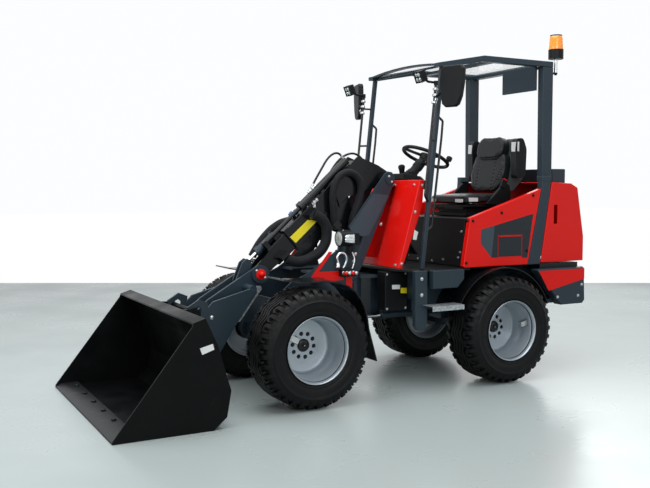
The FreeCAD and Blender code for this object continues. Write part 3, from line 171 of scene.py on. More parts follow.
def smooth_line(points, per_span=6):
    """Return the points of a smooth NURBS line through a route's control points."""
    curve = bpy.data.curves.new("route", "CURVE")
    curve.dimensions = "3D"
    spline = curve.splines.new("NURBS")
    spline.points.add(len(points) - 1)
    for slot, point in zip(spline.points, points):
        slot.co = (*point, 1)
    spline.order_u = 3
    spline.use_endpoint_u = True
    spline.resolution_u = per_span
    holder = bpy.data.objects.new("route", curve)
    traced = bpy.data.meshes.new_from_object(holder)
    line = [vertex.co.copy() for vertex in traced.vertices]
    bpy.data.objects.remove(holder)
    bpy.data.curves.remove(curve)
    bpy.data.meshes.remove(traced)
    return line


def sweep(mesh, line, radius, steps=14, ripple=None):
    """Sweep a circle along a line without twist, with UVs in metres round and along it."""
    ahead = [(b - a).normalized() for a, b in zip(line, line[1:])]
    tangents = [ahead[0]] + [(a + b).normalized() for a, b in zip(ahead, ahead[1:])] + [ahead[-1]]
    side = tangents[0].orthogonal().normalized()
    rings, lengths, run = [], [], 0.0
    for i, (point, tangent) in enumerate(zip(line, tangents)):
        side = (side - tangent * side.dot(tangent)).normalized()
        other = tangent.cross(side)
        if i:
            run += (point - line[i - 1]).length
        size = radius if ripple is None else radius * ripple(run)
        rings.append([point + (side * math.cos(a) + other * math.sin(a)) * size
                      for a in (2 * math.pi * k / steps for k in range(steps))])
        lengths.append(run)
    layer = mesh.loops.layers.uv.verify()
    rows = loft(mesh, rings)
    place = {vert: (k, lengths[i]) for i, row in enumerate(rows) for k, vert in enumerate(row)}
    done = set()
    for row in rows:
        for vert in row:
            for face in vert.link_faces:
                if face in done:
                    continue
                done.add(face)
                ks = [place[loop.vert][0] for loop in face.loops]
                wrap = len(face.loops) == 4 and max(ks) - min(ks) > 1
                for loop, k in zip(face.loops, ks):
                    around = k + (steps if wrap and k == 0 else 0)
                    loop[layer].uv = (around / steps * 2 * math.pi * radius, place[loop.vert][1])


# ---------------------------------------------------------------- pieces

def piece(name, mesh, material, body, bevel=0.0, segments=2, smooth=32):
    """Turn a bmesh into an object that rides on a body, with eased edges and smooth shading."""
    if bevel:
        sharp = [edge for edge in mesh.edges
                 if len(edge.link_faces) == 2 and edge.calc_face_angle(0) > math.radians(28)]
        bmesh.ops.bevel(mesh, geom=sharp, offset=bevel, segments=segments, profile=0.6,
                        affect="EDGES", clamp_overlap=True)
    bmesh.ops.recalc_face_normals(mesh, faces=mesh.faces)
    data = bpy.data.meshes.new(name)
    mesh.to_mesh(data)
    mesh.free()
    for face in data.polygons:
        face.use_smooth = True
    data.set_sharp_from_angle(angle=math.radians(smooth))
    data.materials.append(material)
    made = bpy.data.objects.new(name, data)
    bpy.context.scene.collection.objects.link(made)
    if body is not None:
        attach(made, body)
    return made


def apply_modifiers(made):
    """Replace an object's mesh by the result of its modifiers."""
    graph = bpy.context.evaluated_depsgraph_get()
    data = bpy.data.meshes.new_from_object(made.evaluated_get(graph))
    old = made.data
    made.modifiers.clear()
    made.data = data
    bpy.data.meshes.remove(old)


# ---------------------------------------------------------------- materials

def linear(code):
    """Turn an sRGB hex colour into linear values."""
    parts = [int(code[i:i + 2], 16) / 255 for i in (1, 3, 5)]
    return tuple(c / 12.92 if c <= 0.04045 else ((c + 0.055) / 1.055) ** 2.4
                 for c in parts) + (1.0,)


def add(tree, kind, inputs=(), **settings):
    """Add a node with its settings, and with the links or values of its inputs."""
    node = tree.nodes.new(kind)
    for name, value in settings.items():
        setattr(node, name, value)
    for name, value in dict(inputs).items():
        if isinstance(value, bpy.types.NodeSocket):
            tree.links.new(value, node.inputs[name])
        else:
            node.inputs[name].default_value = value
    return node


def finish(name, colour, roughness, metallic=0.0, **shader):
    """Start a material with a principled shader, and return it with its tree and shader."""
    material = bpy.data.materials.new(name)
    material.use_nodes = True
    tree = material.node_tree
    tree.nodes.clear()
    surface = add(tree, "ShaderNodeBsdfPrincipled",
                  {"Base Color": linear(colour), "Roughness": roughness, "Metallic": metallic,
                   **{key.replace("_", " "): value for key, value in shader.items()}})
    output = add(tree, "ShaderNodeOutputMaterial", {"Surface": surface.outputs[0]})
    output.name = "Output"
    return material, tree, surface


def speckle(tree, size, detail=3.0, roughness=0.5, stretch=(1, 1, 1)):
    """Add noise whose cells have a real size in metres, and return its value."""
    place = add(tree, "ShaderNodeTexCoord")
    scaled = add(tree, "ShaderNodeMapping", {"Vector": place.outputs["Object"],
                                             "Scale": stretch})
    noise = add(tree, "ShaderNodeTexNoise", {"Vector": scaled.outputs[0], "Scale": 1 / size,
                                             "Detail": detail, "Roughness": roughness})
    return noise.outputs["Fac"]


def dress(tree, surface, colours=None, roughness=None, relief=None):
    """Vary a shader's face by patterns.

    colours is a pattern and the two hex colours that it mixes, roughness a pattern and the two
    values between which it wanders, and relief a pattern, its strength and its depth in metres.
    """
    if colours:
        share, light, dark = colours
        mixed = add(tree, "ShaderNodeMix", {0: share, 6: linear(light), 7: linear(dark)},
                    data_type="RGBA")
        tree.links.new(mixed.outputs[2], surface.inputs["Base Color"])
    if roughness:
        share, smooth, rough = roughness
        wander = add(tree, "ShaderNodeMapRange", {"Value": share, "From Min": 0.3,
                                                  "From Max": 0.7, "To Min": smooth,
                                                  "To Max": rough})
        tree.links.new(wander.outputs[0], surface.inputs["Roughness"])
    if relief:
        height, strength, depth = relief
        bump = add(tree, "ShaderNodeBump", {"Height": height, "Strength": strength,
                                            "Distance": depth})
        tree.links.new(bump.outputs[0], surface.inputs["Normal"])


def seen_rays(tree):
    """Return 1 for the camera's rays and for those that a surface mirrors or lets through."""
    rays = add(tree, "ShaderNodeLightPath")
    seen = rays.outputs["Is Camera Ray"]
    for name in ("Is Glossy Ray", "Is Transmission Ray"):
        seen = add(tree, "ShaderNodeMath", {0: seen, 1: rays.outputs[name]},
                   operation="MAXIMUM").outputs[0]
    return seen


# Each finish is made once, the first time that a piece asks for it.

def red_powder_coat():
    """Gloss polyester powder coat on sheet steel: an even skin with a faint orange peel."""
    material, tree, surface = finish("Gloss red polyester powder coat", "#D60F08", 0.3,
                                     Specular_IOR_Level=0.22, Coat_Weight=0.06,
                                     Coat_Roughness=0.08)
    dress(tree, surface, colours=(speckle(tree, 0.35, 2), "#DB1108", "#CF0E07"),
          relief=(speckle(tree, 0.006, 1), 0.12, 0.0004))
    return material


def slate_powder_coat():
    """Satin powder coat on welded steel: a little rougher and less even than the gloss coat."""
    material, tree, surface = finish("Satin slate powder coat", "#22303A", 0.38,
                                     Specular_IOR_Level=0.3)
    dress(tree, surface, colours=(speckle(tree, 0.3, 3), "#24323C", "#1D2A33"),
          roughness=(speckle(tree, 0.12), 0.33, 0.45),
          relief=(speckle(tree, 0.005, 1), 0.15, 0.0004))
    return material


def grey_film():
    """Cut vinyl film, a shade lighter than the slate coat under it, with a soft sheen."""
    material, tree, surface = finish("Satin grey vinyl film", "#35424C", 0.42,
                                     Specular_IOR_Level=0.3)
    dress(tree, surface, colours=(speckle(tree, 0.2, 2), "#38454F", "#313E47"))
    return material


def dark_film():
    """Cut vinyl film, near black with a blue cast and a satin face."""
    material, tree, surface = finish("Satin dark vinyl film", "#161E24", 0.36,
                                     Specular_IOR_Level=0.3)
    dress(tree, surface, colours=(speckle(tree, 0.2, 2), "#182027", "#141B20"))
    return material


def black_enamel():
    """Black enamel on the boom: smooth and glossy, as a machined and painted slide is."""
    material, tree, surface = finish("Gloss black enamel", "#0B0D10", 0.24,
                                     Specular_IOR_Level=0.3)
    dress(tree, surface, roughness=(speckle(tree, 0.1), 0.18, 0.3),
          relief=(speckle(tree, 0.008, 1), 0.1, 0.0004))
    return material


def bucket_enamel():
    """Black bucket enamel: satin, with fine scuffs along the load's way on the shell."""
    material, tree, surface = finish("Satin black bucket enamel", "#070809", 0.4,
                                     Specular_IOR_Level=0.1)
    fine = speckle(tree, 0.02, 5, 0.6, stretch=(0.12, 1, 0.12))
    broad = speckle(tree, 0.25, 3)
    scuffs = add(tree, "ShaderNodeMapRange", {"Value": fine, "From Min": 0.62,
                                              "From Max": 0.8})
    dress(tree, surface, colours=(scuffs.outputs[0], "#060708", "#121517"),
          roughness=(broad, 0.28, 0.5),
          relief=(fine, 0.2, 0.0004))
    return material


def worn_edge_steel():
    """Quenched edge steel under black paint, rubbed bright in streaks by the ground."""
    material, tree, surface = finish("Painted wear steel", "#1A1C1E", 0.42, 0.3,
                                     Specular_IOR_Level=0.3)
    streaks = speckle(tree, 0.03, 6, 0.7, stretch=(0.25, 1, 1))
    rubbed = add(tree, "ShaderNodeMapRange", {"Value": streaks, "From Min": 0.6,
                                              "From Max": 0.72})
    dress(tree, surface, colours=(rubbed.outputs[0], "#15171A", "#4A4E52"))
    return material


def wheel_lacquer():
    """Silver wheel lacquer: metal flake under clear lacquer, satin, on rolled steel."""
    material, tree, surface = finish("Silver wheel lacquer", "#A4ADB4", 0.34, 0.5,
                                     Coat_Weight=0.1, Coat_Roughness=0.15)
    dress(tree, surface, colours=(speckle(tree, 0.12, 3), "#A9B2B9", "#98A1A9"),
          relief=(speckle(tree, 0.004, 1), 0.08, 0.0003))
    return material


def tyre_rubber():
    """Moulded tyre rubber: near black, matt, with dust held in the moulding's grain."""
    material, tree, surface = finish("Moulded tyre rubber", "#0A0B0D", 0.5,
                                     Specular_IOR_Level=0.15)
    dust = add(tree, "ShaderNodeMapRange", {"Value": speckle(tree, 0.06, 5, 0.65),
                                            "From Min": 0.5, "From Max": 0.8})
    dress(tree, surface, colours=(dust.outputs[0], "#090A0C", "#181715"),
          roughness=(speckle(tree, 0.03, 4), 0.4, 0.6),
          relief=(speckle(tree, 0.003, 2), 0.25, 0.0005))
    return material


def hose_rubber():
    """Extruded hydraulic hose cover: black synthetic rubber with a light sheen."""
    material, tree, surface = finish("Extruded hose rubber", "#0D0E10", 0.42,
                                     Specular_IOR_Level=0.3)
    dress(tree, surface, relief=(speckle(tree, 0.003, 2), 0.2, 0.0003))
    return material


def textile_sleeve():
    """Woven nylon hose sleeve: crossed yarns drawn at 4 mm, twice their size, so they show."""
    material, tree, surface = finish("Woven black nylon sleeve", "#0E0F11", 0.7,
                                     Specular_IOR_Level=0.15, Sheen_Weight=0.04,
                                     Sheen_Roughness=0.5)
    place = add(tree, "ShaderNodeTexCoord")
    waves = []
    for slant in (1, -1):
        turn = add(tree, "ShaderNodeMapping", {"Vector": place.outputs["UV"],
                                               "Rotation": (0, 0, slant * math.radians(45))})
        wave = add(tree, "ShaderNodeTexWave", {"Vector": turn.outputs[0], "Scale": 1 / 0.026,
                                               "Distortion": 0.6}, bands_direction="X")
        waves.append(wave.outputs["Fac"])
    weave = add(tree, "ShaderNodeMath", {0: waves[0], 1: waves[1]}, operation="MAXIMUM")
    dress(tree, surface, colours=(weave.outputs[0], "#08090A", "#1A1C20"),
          relief=(weave.outputs[0], 0.6, 0.0015))
    return material


def moulded_plastic():
    """Moulded black polypropylene with a fine spark-eroded grain, drawn at 2.5 mm."""
    material, tree, surface = finish("Moulded black polypropylene", "#0A0C0E", 0.5,
                                     Specular_IOR_Level=0.18)
    dress(tree, surface, colours=(speckle(tree, 0.15, 3), "#0C0E10", "#08090B"),
          relief=(speckle(tree, 0.0025, 2), 0.2, 0.0004))
    return material


def shell_plastic():
    """Moulded grey polypropylene of the seat's back shell: paler and smoother than the trim."""
    material, tree, surface = finish("Moulded grey polypropylene", "#43484A", 0.45,
                                     Specular_IOR_Level=0.3)
    dress(tree, surface, colours=(speckle(tree, 0.1, 3), "#484D4F", "#3B4042"),
          relief=(speckle(tree, 0.003, 2), 0.15, 0.0003))
    return material


def seat_vinyl():
    """Calendered seat vinyl: black, with a pebbled leather grain drawn at 4 mm."""
    material, tree, surface = finish("Grained black seat vinyl", "#131417", 0.42,
                                     Specular_IOR_Level=0.3)
    place = add(tree, "ShaderNodeTexCoord")
    cells = add(tree, "ShaderNodeTexVoronoi", {"Vector": place.outputs["Object"],
                                               "Scale": 1 / 0.004, "Randomness": 1.0},
                feature="DISTANCE_TO_EDGE")
    grain = add(tree, "ShaderNodeMapRange", {"Value": cells.outputs["Distance"],
                                             "From Max": 0.25}).outputs[0]
    dress(tree, surface, colours=(grain, "#0B0C0E", "#16181B"), relief=(grain, 0.35, 0.0006))
    return material


def galvanised_steel():
    """Hot-dip galvanised sheet: a pale zinc skin with spangles about 12 mm across."""
    material, tree, surface = finish("Hot-dip galvanised steel", "#A7ADB0", 0.42, 0.8)
    place = add(tree, "ShaderNodeTexCoord")
    cells = add(tree, "ShaderNodeTexVoronoi", {"Vector": place.outputs["Object"],
                                               "Scale": 1 / 0.012})
    shade = add(tree, "ShaderNodeSeparateColor", {"Color": cells.outputs["Color"]})
    dress(tree, surface, colours=(shade.outputs[0], "#8F969A", "#B8BEC1"))
    sheen = add(tree, "ShaderNodeMapRange", {"Value": shade.outputs[1], "To Min": 0.3,
                                             "To Max": 0.5})
    tree.links.new(sheen.outputs[0], surface.inputs["Roughness"])
    return material


def zinc_plating():
    """Bright zinc-plated fasteners and fittings, slightly clouded."""
    material, tree, surface = finish("Bright zinc plating", "#B9BDBF", 0.28, 0.95)
    dress(tree, surface, roughness=(speckle(tree, 0.01, 2), 0.2, 0.38))
    return material


def turned_steel():
    """Turned pin steel: bright, with fine tool rings and a film of oil."""
    material, tree, surface = finish("Oiled turned steel", "#8B8F92", 0.3, 1.0)
    dress(tree, surface, roughness=(speckle(tree, 0.008, 3), 0.22, 0.42))
    return material


def hard_chrome():
    """Hard chrome on the rams' rods: mirror bright with faint polishing lines."""
    material, tree, surface = finish("Hard chrome plating", "#D4D7DA", 0.09, 1.0)
    dress(tree, surface, roughness=(speckle(tree, 0.004, 2), 0.06, 0.14))
    return material


def clear_sheet():
    """Clear polycarbonate sheet: nearly colourless, with a cool cast and a sharp gloss."""
    material, tree, surface = finish("Clear polycarbonate sheet", "#DCE8EA", 0.06, IOR=1.58,
                                     Alpha=0.16)
    dress(tree, surface, roughness=(speckle(tree, 0.2, 2), 0.04, 0.1))
    return material


def amber_lens_painted_glow():
    """Moulded amber polycarbonate lens: deep orange, glossy and half clear, with a faint painted
    glow.
    """
    material, tree, surface = finish("Amber polycarbonate lens", "#F08A08", 0.14, IOR=1.58,
                                     Coat_Weight=0.4)
    dress(tree, surface, colours=(speckle(tree, 0.03, 1), "#F59A10", "#E87A04"))
    # A weak orange emission paints a glow into the lens, as if light came through it, though no
    # lamp lights it.
    surface.inputs["Emission Color"].default_value = linear("#F07800")
    surface.inputs["Emission Strength"].default_value = 0.12
    return material


def red_lens():
    """Moulded red acrylic lens of a tail lamp, with rows of small moulded optics."""
    material, tree, surface = finish("Red acrylic lens", "#A30D0A", 0.14, IOR=1.49,
                                     Coat_Weight=0.4)
    place = add(tree, "ShaderNodeTexCoord")
    optics = add(tree, "ShaderNodeTexVoronoi", {"Vector": place.outputs["Object"],
                                                "Scale": 1 / 0.007})
    dress(tree, surface, colours=(optics.outputs["Distance"], "#B4120D", "#8C0907"),
          relief=(optics.outputs["Distance"], 0.4, 0.001))
    return material


def clear_lens():
    """Clear moulded lamp lens: thin, glossy and nearly colourless."""
    material, tree, surface = finish("Clear moulded lamp lens", "#E8EEF0", 0.08, IOR=1.5,
                                     Alpha=0.3)
    dress(tree, surface, relief=(speckle(tree, 0.006, 1), 0.15, 0.0005))
    return material


def lamp_reflector():
    """Vacuum-metallised lamp reflector: bright, broken up by its moulded facets."""
    material, tree, surface = finish("Metallised lamp reflector", "#D9DDDF", 0.12, 1.0)
    place = add(tree, "ShaderNodeTexCoord")
    cells = add(tree, "ShaderNodeTexVoronoi", {"Vector": place.outputs["Object"],
                                               "Scale": 1 / 0.012})
    dress(tree, surface, relief=(cells.outputs["Distance"], 0.7, 0.003))
    return material


def mirror_glass():
    """Silvered mirror glass: a flat, clear reflection behind thin glass."""
    material, tree, surface = finish("Silvered mirror glass", "#C9D1D4", 0.03, 1.0)
    dress(tree, surface, roughness=(speckle(tree, 0.05, 1), 0.02, 0.05))
    return material


def yellow_film():
    """Blank yellow vinyl label with a satin face."""
    material, tree, surface = finish("Yellow vinyl label", "#E9D820", 0.4)
    dress(tree, surface, colours=(speckle(tree, 0.02, 2), "#EDDC24", "#E2D01B"))
    return material


def white_film():
    """Blank white vinyl label with a satin face."""
    material, tree, surface = finish("White vinyl label", "#D7D9D8", 0.4)
    dress(tree, surface, colours=(speckle(tree, 0.02, 2), "#DCDEDD", "#CFD2D1"))
    return material


def blue_anodising():
    """Blue anodised aluminium of the hose couplings: a dull metallic blue."""
    material, tree, surface = finish("Blue anodised aluminium", "#3A5A7E", 0.35, 0.9)
    dress(tree, surface, roughness=(speckle(tree, 0.006, 2), 0.28, 0.42))
    return material


def battery_casing():
    """Brushed aluminium sheet of the battery's case."""
    material, tree, surface = finish("Brushed aluminium case", "#7C8083", 0.4, 0.9)
    dress(tree, surface, roughness=(speckle(tree, 0.003, 3, stretch=(0.05, 1, 1)), 0.3, 0.5))
    return material


MADE = {}       # the finishes made so far, by their maker


def coat(maker):
    """Return the material that a maker builds, building it the first time."""
    if maker not in MADE:
        MADE[maker] = maker()
    return MADE[maker]


# maker of a finish: the CAD nodes that it is given to
PAINTED = {
    red_powder_coat: ["side_panels", "charge_flap", "front_shield", "rear_hood"],
    slate_powder_coat: ["air_box", "front_frame", "rear_frame", "front_posts", "rear_posts",
                        "roof_frame", "mast", "tool_carrier", "rear_bumper", "tilt_barrel",
                        "lift_barrel", "steer_barrel", "front_axle", "rear_axle", "head_pins"],
    bucket_enamel: ["bucket"],
    black_enamel: ["outer_boom", "inner_boom", "handrails", "rear_fenders", "front_fenders"],
    moulded_plastic: ["floor_plate", "seat_box", "dashboard", "seat_base", "work_lamps",
                      "mirrors", "side_boxes", "steering_wheel", "headlamps", "beacon",
                      "valve_block"],
    seat_vinyl: ["seat_cushion", "seat_backrest"],
    galvanised_steel: ["steps"],
    turned_steel: ["articulation_pin", "tilt_piston"],
    hard_chrome: ["lift_rod", "tilt_rod", "steer_rod"],
    clear_sheet: ["roof_panel"],
    battery_casing: ["battery_pack"],
    tyre_rubber: [f"tyre_{corner}" for corner in CORNERS],
    wheel_lacquer: [f"rim_{corner}" for corner in CORNERS],
    textile_sleeve: ["loop_hose", "under_hose", "far_hose"],
    hose_rubber: ["front_arch_hose", "rear_arch_hose"],
}


class LOADER_OT_paint(bpy.types.Operator):
    """Give every CAD node the finish of the real piece"""

    bl_idname = "loader.paint"
    bl_label = "Frame finishes"

    def execute(self, context):
        for maker, names in PAINTED.items():
            for name in names:
                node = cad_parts[name]
                node.data.materials.clear()
                node.data.materials.append(coat(maker))
        return {"FINISHED"}


# ---------------------------------------------------------------- stage

class StageSettings(bpy.types.PropertyGroup):
    """Sizes and colours of the studio."""

    floor_pale: FloatVectorProperty(
        name="Floor, pale", description="Colour of the paler clouds in the polished floor",
        subtype="COLOR", size=3, min=0, max=1, default=linear("#AAB5B4")[:3])
    floor_dark: FloatVectorProperty(
        name="Floor, dark", description="Colour of the darker clouds in the polished floor",
        subtype="COLOR", size=3, min=0, max=1, default=linear("#9BA7A6")[:3])
    floor_radius: FloatProperty(
        name="Floor radius", description="Distance at which the floor meets the white wall",
        default=6.12, min=3, max=30, unit="LENGTH")
    lens: FloatProperty(
        name="Lens", description="Focal length of the camera on a 36 mm sensor", default=47.17,
        min=20, max=200, unit="CAMERA")


AMBIENT = 0.32      # strength of the surround's light on the machine, where 1 is white
FLOOR_REACH = 40    # half the width of the floor's plane
FLOOR_EDGE = 0.02   # width of the blend from floor to wall
WALL_SIDE = (-0.4767, -0.8791, 0)       # direction from the machine to the white wall
CAMERA_PLACE = (2.912, 5.148, 1.354)
CAMERA_TURN = (86.199, 0, 151.533)      # in degrees
# name: place, point that it looks at, width, height, power in watts
SOFTBOXES = {
    "overhead_softbox": ((0.4, 0.6, 5.2), (0, 0, 0.8), 5.5, 5.5, 330),
    "left_softbox": ((1.6, 6.2, 3.0), (0, 0, 1.0), 4.0, 3.0, 130),
    "front_softbox": ((6.0, 0.8, 2.6), (0, 0, 0.9), 3.0, 3.0, 90),
    "rear_softbox": ((-5.5, -3.5, 3.4), (0, 0, 1.0), 3.5, 3.0, 110),
}


def studio_floor(settings):
    """Polished pale concrete that meets a white wall behind the machine, and far all round."""
    material, tree, surface = finish("Polished pale concrete", "#A5B0AF", 0.3)
    place = add(tree, "ShaderNodeTexCoord")
    cloud = speckle(tree, 0.9, 4, 0.55)
    clouded = add(tree, "ShaderNodeMix", {0: cloud, 6: (*settings.floor_pale, 1),
                                          7: (*settings.floor_dark, 1)}, data_type="RGBA")
    tree.links.new(clouded.outputs[2], surface.inputs["Base Color"])
    dress(tree, surface, roughness=(cloud, 0.24, 0.36))
    flat = add(tree, "ShaderNodeVectorMath", {0: place.outputs["Object"], 1: (1, 1, 0)},
               operation="MULTIPLY")
    away = add(tree, "ShaderNodeVectorMath", {0: flat.outputs[0]}, operation="LENGTH")
    behind = add(tree, "ShaderNodeVectorMath", {0: flat.outputs[0], 1: WALL_SIDE},
                 operation="DOT_PRODUCT")
    radius = settings.floor_radius
    edges = [add(tree, "ShaderNodeMapRange", {"Value": value, "From Min": start,
                                              "From Max": start + FLOOR_EDGE}).outputs[0]
             for value, start in ((behind.outputs["Value"], radius - FLOOR_EDGE / 2),
                                  (away.outputs["Value"], 2 * radius))]
    beyond = add(tree, "ShaderNodeMath", {0: edges[0], 1: edges[1]}, operation="MAXIMUM")
    share = add(tree, "ShaderNodeMath", {0: seen_rays(tree), 1: beyond.outputs[0]},
                operation="MULTIPLY")
    wall = add(tree, "ShaderNodeEmission", {"Color": (1, 1, 1, 1), "Strength": 1.0})
    mixed = add(tree, "ShaderNodeMixShader", {0: share.outputs[0]})
    tree.links.new(surface.outputs[0], mixed.inputs[1])
    tree.links.new(wall.outputs[0], mixed.inputs[2])
    tree.links.new(mixed.outputs[0], tree.nodes["Output"].inputs["Surface"])
    return material


def softbox(name, place, aim, wide, high, watts):
    """Hang one rectangular lamp that looks at a point."""
    lamp = bpy.data.lights.new(name, "AREA")
    lamp.shape = "RECTANGLE"
    lamp.size = wide
    lamp.size_y = high
    lamp.energy = watts
    holder = bpy.data.objects.new(name, lamp)
    holder.location = place
    holder.rotation_euler = (Vector(aim) - Vector(place)).to_track_quat("-Z", "Y").to_euler()
    bpy.context.scene.collection.objects.link(holder)


class LOADER_OT_stage(bpy.types.Operator):
    """Set up the floor, the lamps, the white surround and the camera"""

    bl_idname = "loader.stage"
    bl_label = "Studio"

    def execute(self, context):
        settings = context.scene.loader_stage
        mesh = bmesh.new()
        corners = ((-1, -1), (1, -1), (1, 1), (-1, 1))
        mesh.faces.new([mesh.verts.new((x * FLOOR_REACH, y * FLOOR_REACH, 0))
                        for x, y in corners])
        floor = piece("studio_floor", mesh, studio_floor(settings), None)
        world = bpy.data.worlds.new("White surround")
        world.use_nodes = True
        tree = world.node_tree
        tree.nodes.clear()
        strength = add(tree, "ShaderNodeMapRange", {"Value": seen_rays(tree),
                                                    "To Min": AMBIENT})
        sky = add(tree, "ShaderNodeBackground", {"Color": (0.97, 0.985, 1.0, 1),
                                                 "Strength": strength.outputs[0]})
        add(tree, "ShaderNodeOutputWorld", {"Surface": sky.outputs[0]})
        context.scene.world = world
        for name, values in SOFTBOXES.items():
            softbox(name, *values)
        camera = bpy.data.cameras.new("camera")
        camera.lens = settings.lens
        camera.sensor_width = 36
        camera.clip_end = 200
        holder = bpy.data.objects.new("camera", camera)
        holder.location = CAMERA_PLACE
        holder.rotation_euler = [math.radians(a) for a in CAMERA_TURN]
        context.scene.collection.objects.link(holder)
        context.scene.camera = holder
        context.scene.view_settings.view_transform = "Standard"
        return {"FINISHED"}


# ---------------------------------------------------------------- wheels

class WheelSettings(bpy.types.PropertyGroup):
    """Sizes of the tyres' tread and of the rims' fittings."""

    lugs: IntProperty(name="Shoulder lugs", description="Lugs on each shoulder of a tyre",
                      default=36, min=20, max=60)
    lug_depth: FloatProperty(name="Lug depth", description="Height of the lugs over the carcass",
                             default=0.021, min=0.005, max=0.03, unit="LENGTH")
    tread_radius: FloatProperty(name="Tyre radius", description="Radius over the lugs",
                                default=0.3685, min=0.3, max=0.4, unit="LENGTH")
    nut_circle: FloatProperty(name="Nut circle", description="Radius of the circle of wheel nuts",
                              default=0.075, min=0.05, max=0.1, unit="LENGTH")
    nuts: IntProperty(name="Wheel nuts", description="Number of wheel nuts", default=10, min=4,
                      max=12)


CROWN = ((0, 0), (96, 0), (117, 3), (132, 12), (142, 22), (150, 44), (154, 60))


def crown_drop(across):
    """Return how far the tread lies inside its largest radius, at a distance from its middle."""
    across = abs(across) / MM
    for (a, low), (b, high) in zip(CROWN, CROWN[1:]):
        if across <= b:
            return (low + (high - low) * (across - a) / (b - a)) * MM
    return CROWN[-1][1] * MM


def lug(mesh, line, half, radius, depth, place):
    """Raise one lug along a line of (round the tyre, across it) points, with sloped sides."""
    top, foot = [], []
    for i, (run, across) in enumerate(line):
        before, after = line[max(i - 1, 0)], line[min(i + 1, len(line) - 1)]
        ahead = Vector((after[0] - before[0], after[1] - before[1])).normalized()
        side = Vector((-ahead.y, ahead.x))
        width = half[i] if isinstance(half, (list, tuple)) else half
        ends = 0.6 if i in (0, len(line) - 1) else 1
        for rows, reach, lift in ((top, width, 0.0), (foot, width + 0.0035, depth + 0.004)):
            along = ahead * (0.004 if lift else 0) * (-1 if i == 0 else 1) * (ends < 1)
            pair = []
            for sign in (1, -1):
                spot = Vector((run, across)) + side * reach * sign + along
                size = radius - crown_drop(spot.y) - lift
                pair.append(mesh.verts.new(place(spot.x, spot.y, size)))
            rows.append(pair)
    for i in range(len(line) - 1):
        mesh.faces.new((top[i][0], top[i][1], top[i + 1][1], top[i + 1][0]))
        mesh.faces.new((top[i][0], top[i + 1][0], foot[i + 1][0], foot[i][0]))
        mesh.faces.new((top[i + 1][1], top[i][1], foot[i][1], foot[i + 1][1]))
    for i in (0, -1):
        mesh.faces.new((top[i][0], foot[i][0], foot[i][1], top[i][1]))


def spun(mesh, profile, centre, side, steps=96):
    """Turn a closed (radius, outward) outline once round a wheel's axle."""
    rings = [[Vector((centre.x + r * math.sin(a), centre.y + side * y,
                      centre.z + r * math.cos(a))) for r, y in profile]
             for a in (2 * math.pi * i / steps for i in range(steps))]
    rows = [[mesh.verts.new(point) for point in ring] for ring in rings]
    count = len(profile)
    for i in range(steps):
        here, after = rows[i], rows[(i + 1) % steps]
        for k in range(count):
            m = (k + 1) % count
            mesh.faces.new((here[k], here[m], after[m], after[k]))


# half sections of the tyre, as (distance from the axle, distance from its middle) in mm
TYRE_OUTSIDE = ((194, 120), (196, 128), (203, 135), (214, 141), (224, 147), (231, 148.5),
                (236, 147.5), (239, 149.5), (256, 154), (276, 155.5), (288, 155), (293, 158),
                (300, 158.5), (304, 154), (316, 150), (329, 145), (338, 138), (344, 126),
                (347, 112), (347.5, 60))
TYRE_INSIDE = ((340, 100), (318, 128), (286, 142), (240, 136), (206, 118))
# one shoulder lug, as (round the tyre, across it, half its width there) in mm
LUG = ((36, 106, 6), (37, 90, 7.5), (27, 79, 8), (9, 80, 9), (0, 94, 11.5), (-1, 114, 13),
       (0, 134, 13.5), (0, 151, 12))
RIB_INNER, RIB_OUTER = 15, 45       # distances of the middle ribs from the tyre's middle, in mm
RIB_HALF = 0.0085


class LOADER_OT_tyres(bpy.types.Operator):
    """Mould the four tyres: a ribbed carcass, zigzag middle ribs and hooked shoulder lugs"""

    bl_idname = "loader.tyres"
    bl_label = "Tyres"

    def execute(self, context):
        settings = context.scene.loader_wheels
        radius, depth = settings.tread_radius, settings.lug_depth
        pitch = 2 * math.pi * radius / settings.lugs
        for corner, (x, side, turn, _) in CORNERS.items():
            centre = Vector((x, side * WHEEL_Y, WHEEL_Z))

            def place(run, across, size):
                angle = turn + run / radius
                return Vector((centre.x + size * math.sin(angle), centre.y + across,
                               centre.z + size * math.cos(angle)))

            mesh = bmesh.new()
            outer = [(r * MM, y * MM) for r, y in TYRE_OUTSIDE]
            inner = [(r * MM, y * MM) for r, y in TYRE_INSIDE]
            ring = outer + [(r, -y) for r, y in reversed(outer)]
            ring += [(r, -y) for r, y in reversed(inner)] + inner
            spun(mesh, ring, centre, 1, 120)
            for index in range(settings.lugs):
                start = index * pitch
                for edge in (1, -1):
                    run = start + (pitch / 2 if edge < 0 else 0)
                    lug(mesh, [(run + a * MM, edge * b * MM) for a, b, _ in LUG],
                        [half * MM for *_, half in LUG], radius, depth, place)
                    if index % 2:
                        continue
                    step = pitch / MM
                    for middle in (RIB_INNER, RIB_OUTER):
                        shift = 0.25 * (middle - RIB_INNER) * MM
                        rib = [(start + shift + a * MM, (edge * middle + b) * MM)
                               for a, b in ((0, -9), (0.55 * step, -9), (step, 9),
                                            (1.55 * step, 9), (2 * step, -9))]
                        lug(mesh, rib, RIB_HALF, radius, depth, place)
            made = piece(f"tread_{corner}", mesh, coat(tyre_rubber), f"wheel_{corner}",
                         bevel=0.0016, segments=1, smooth=40)
            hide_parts(f"tyre_{corner}")
        return {"FINISHED"}


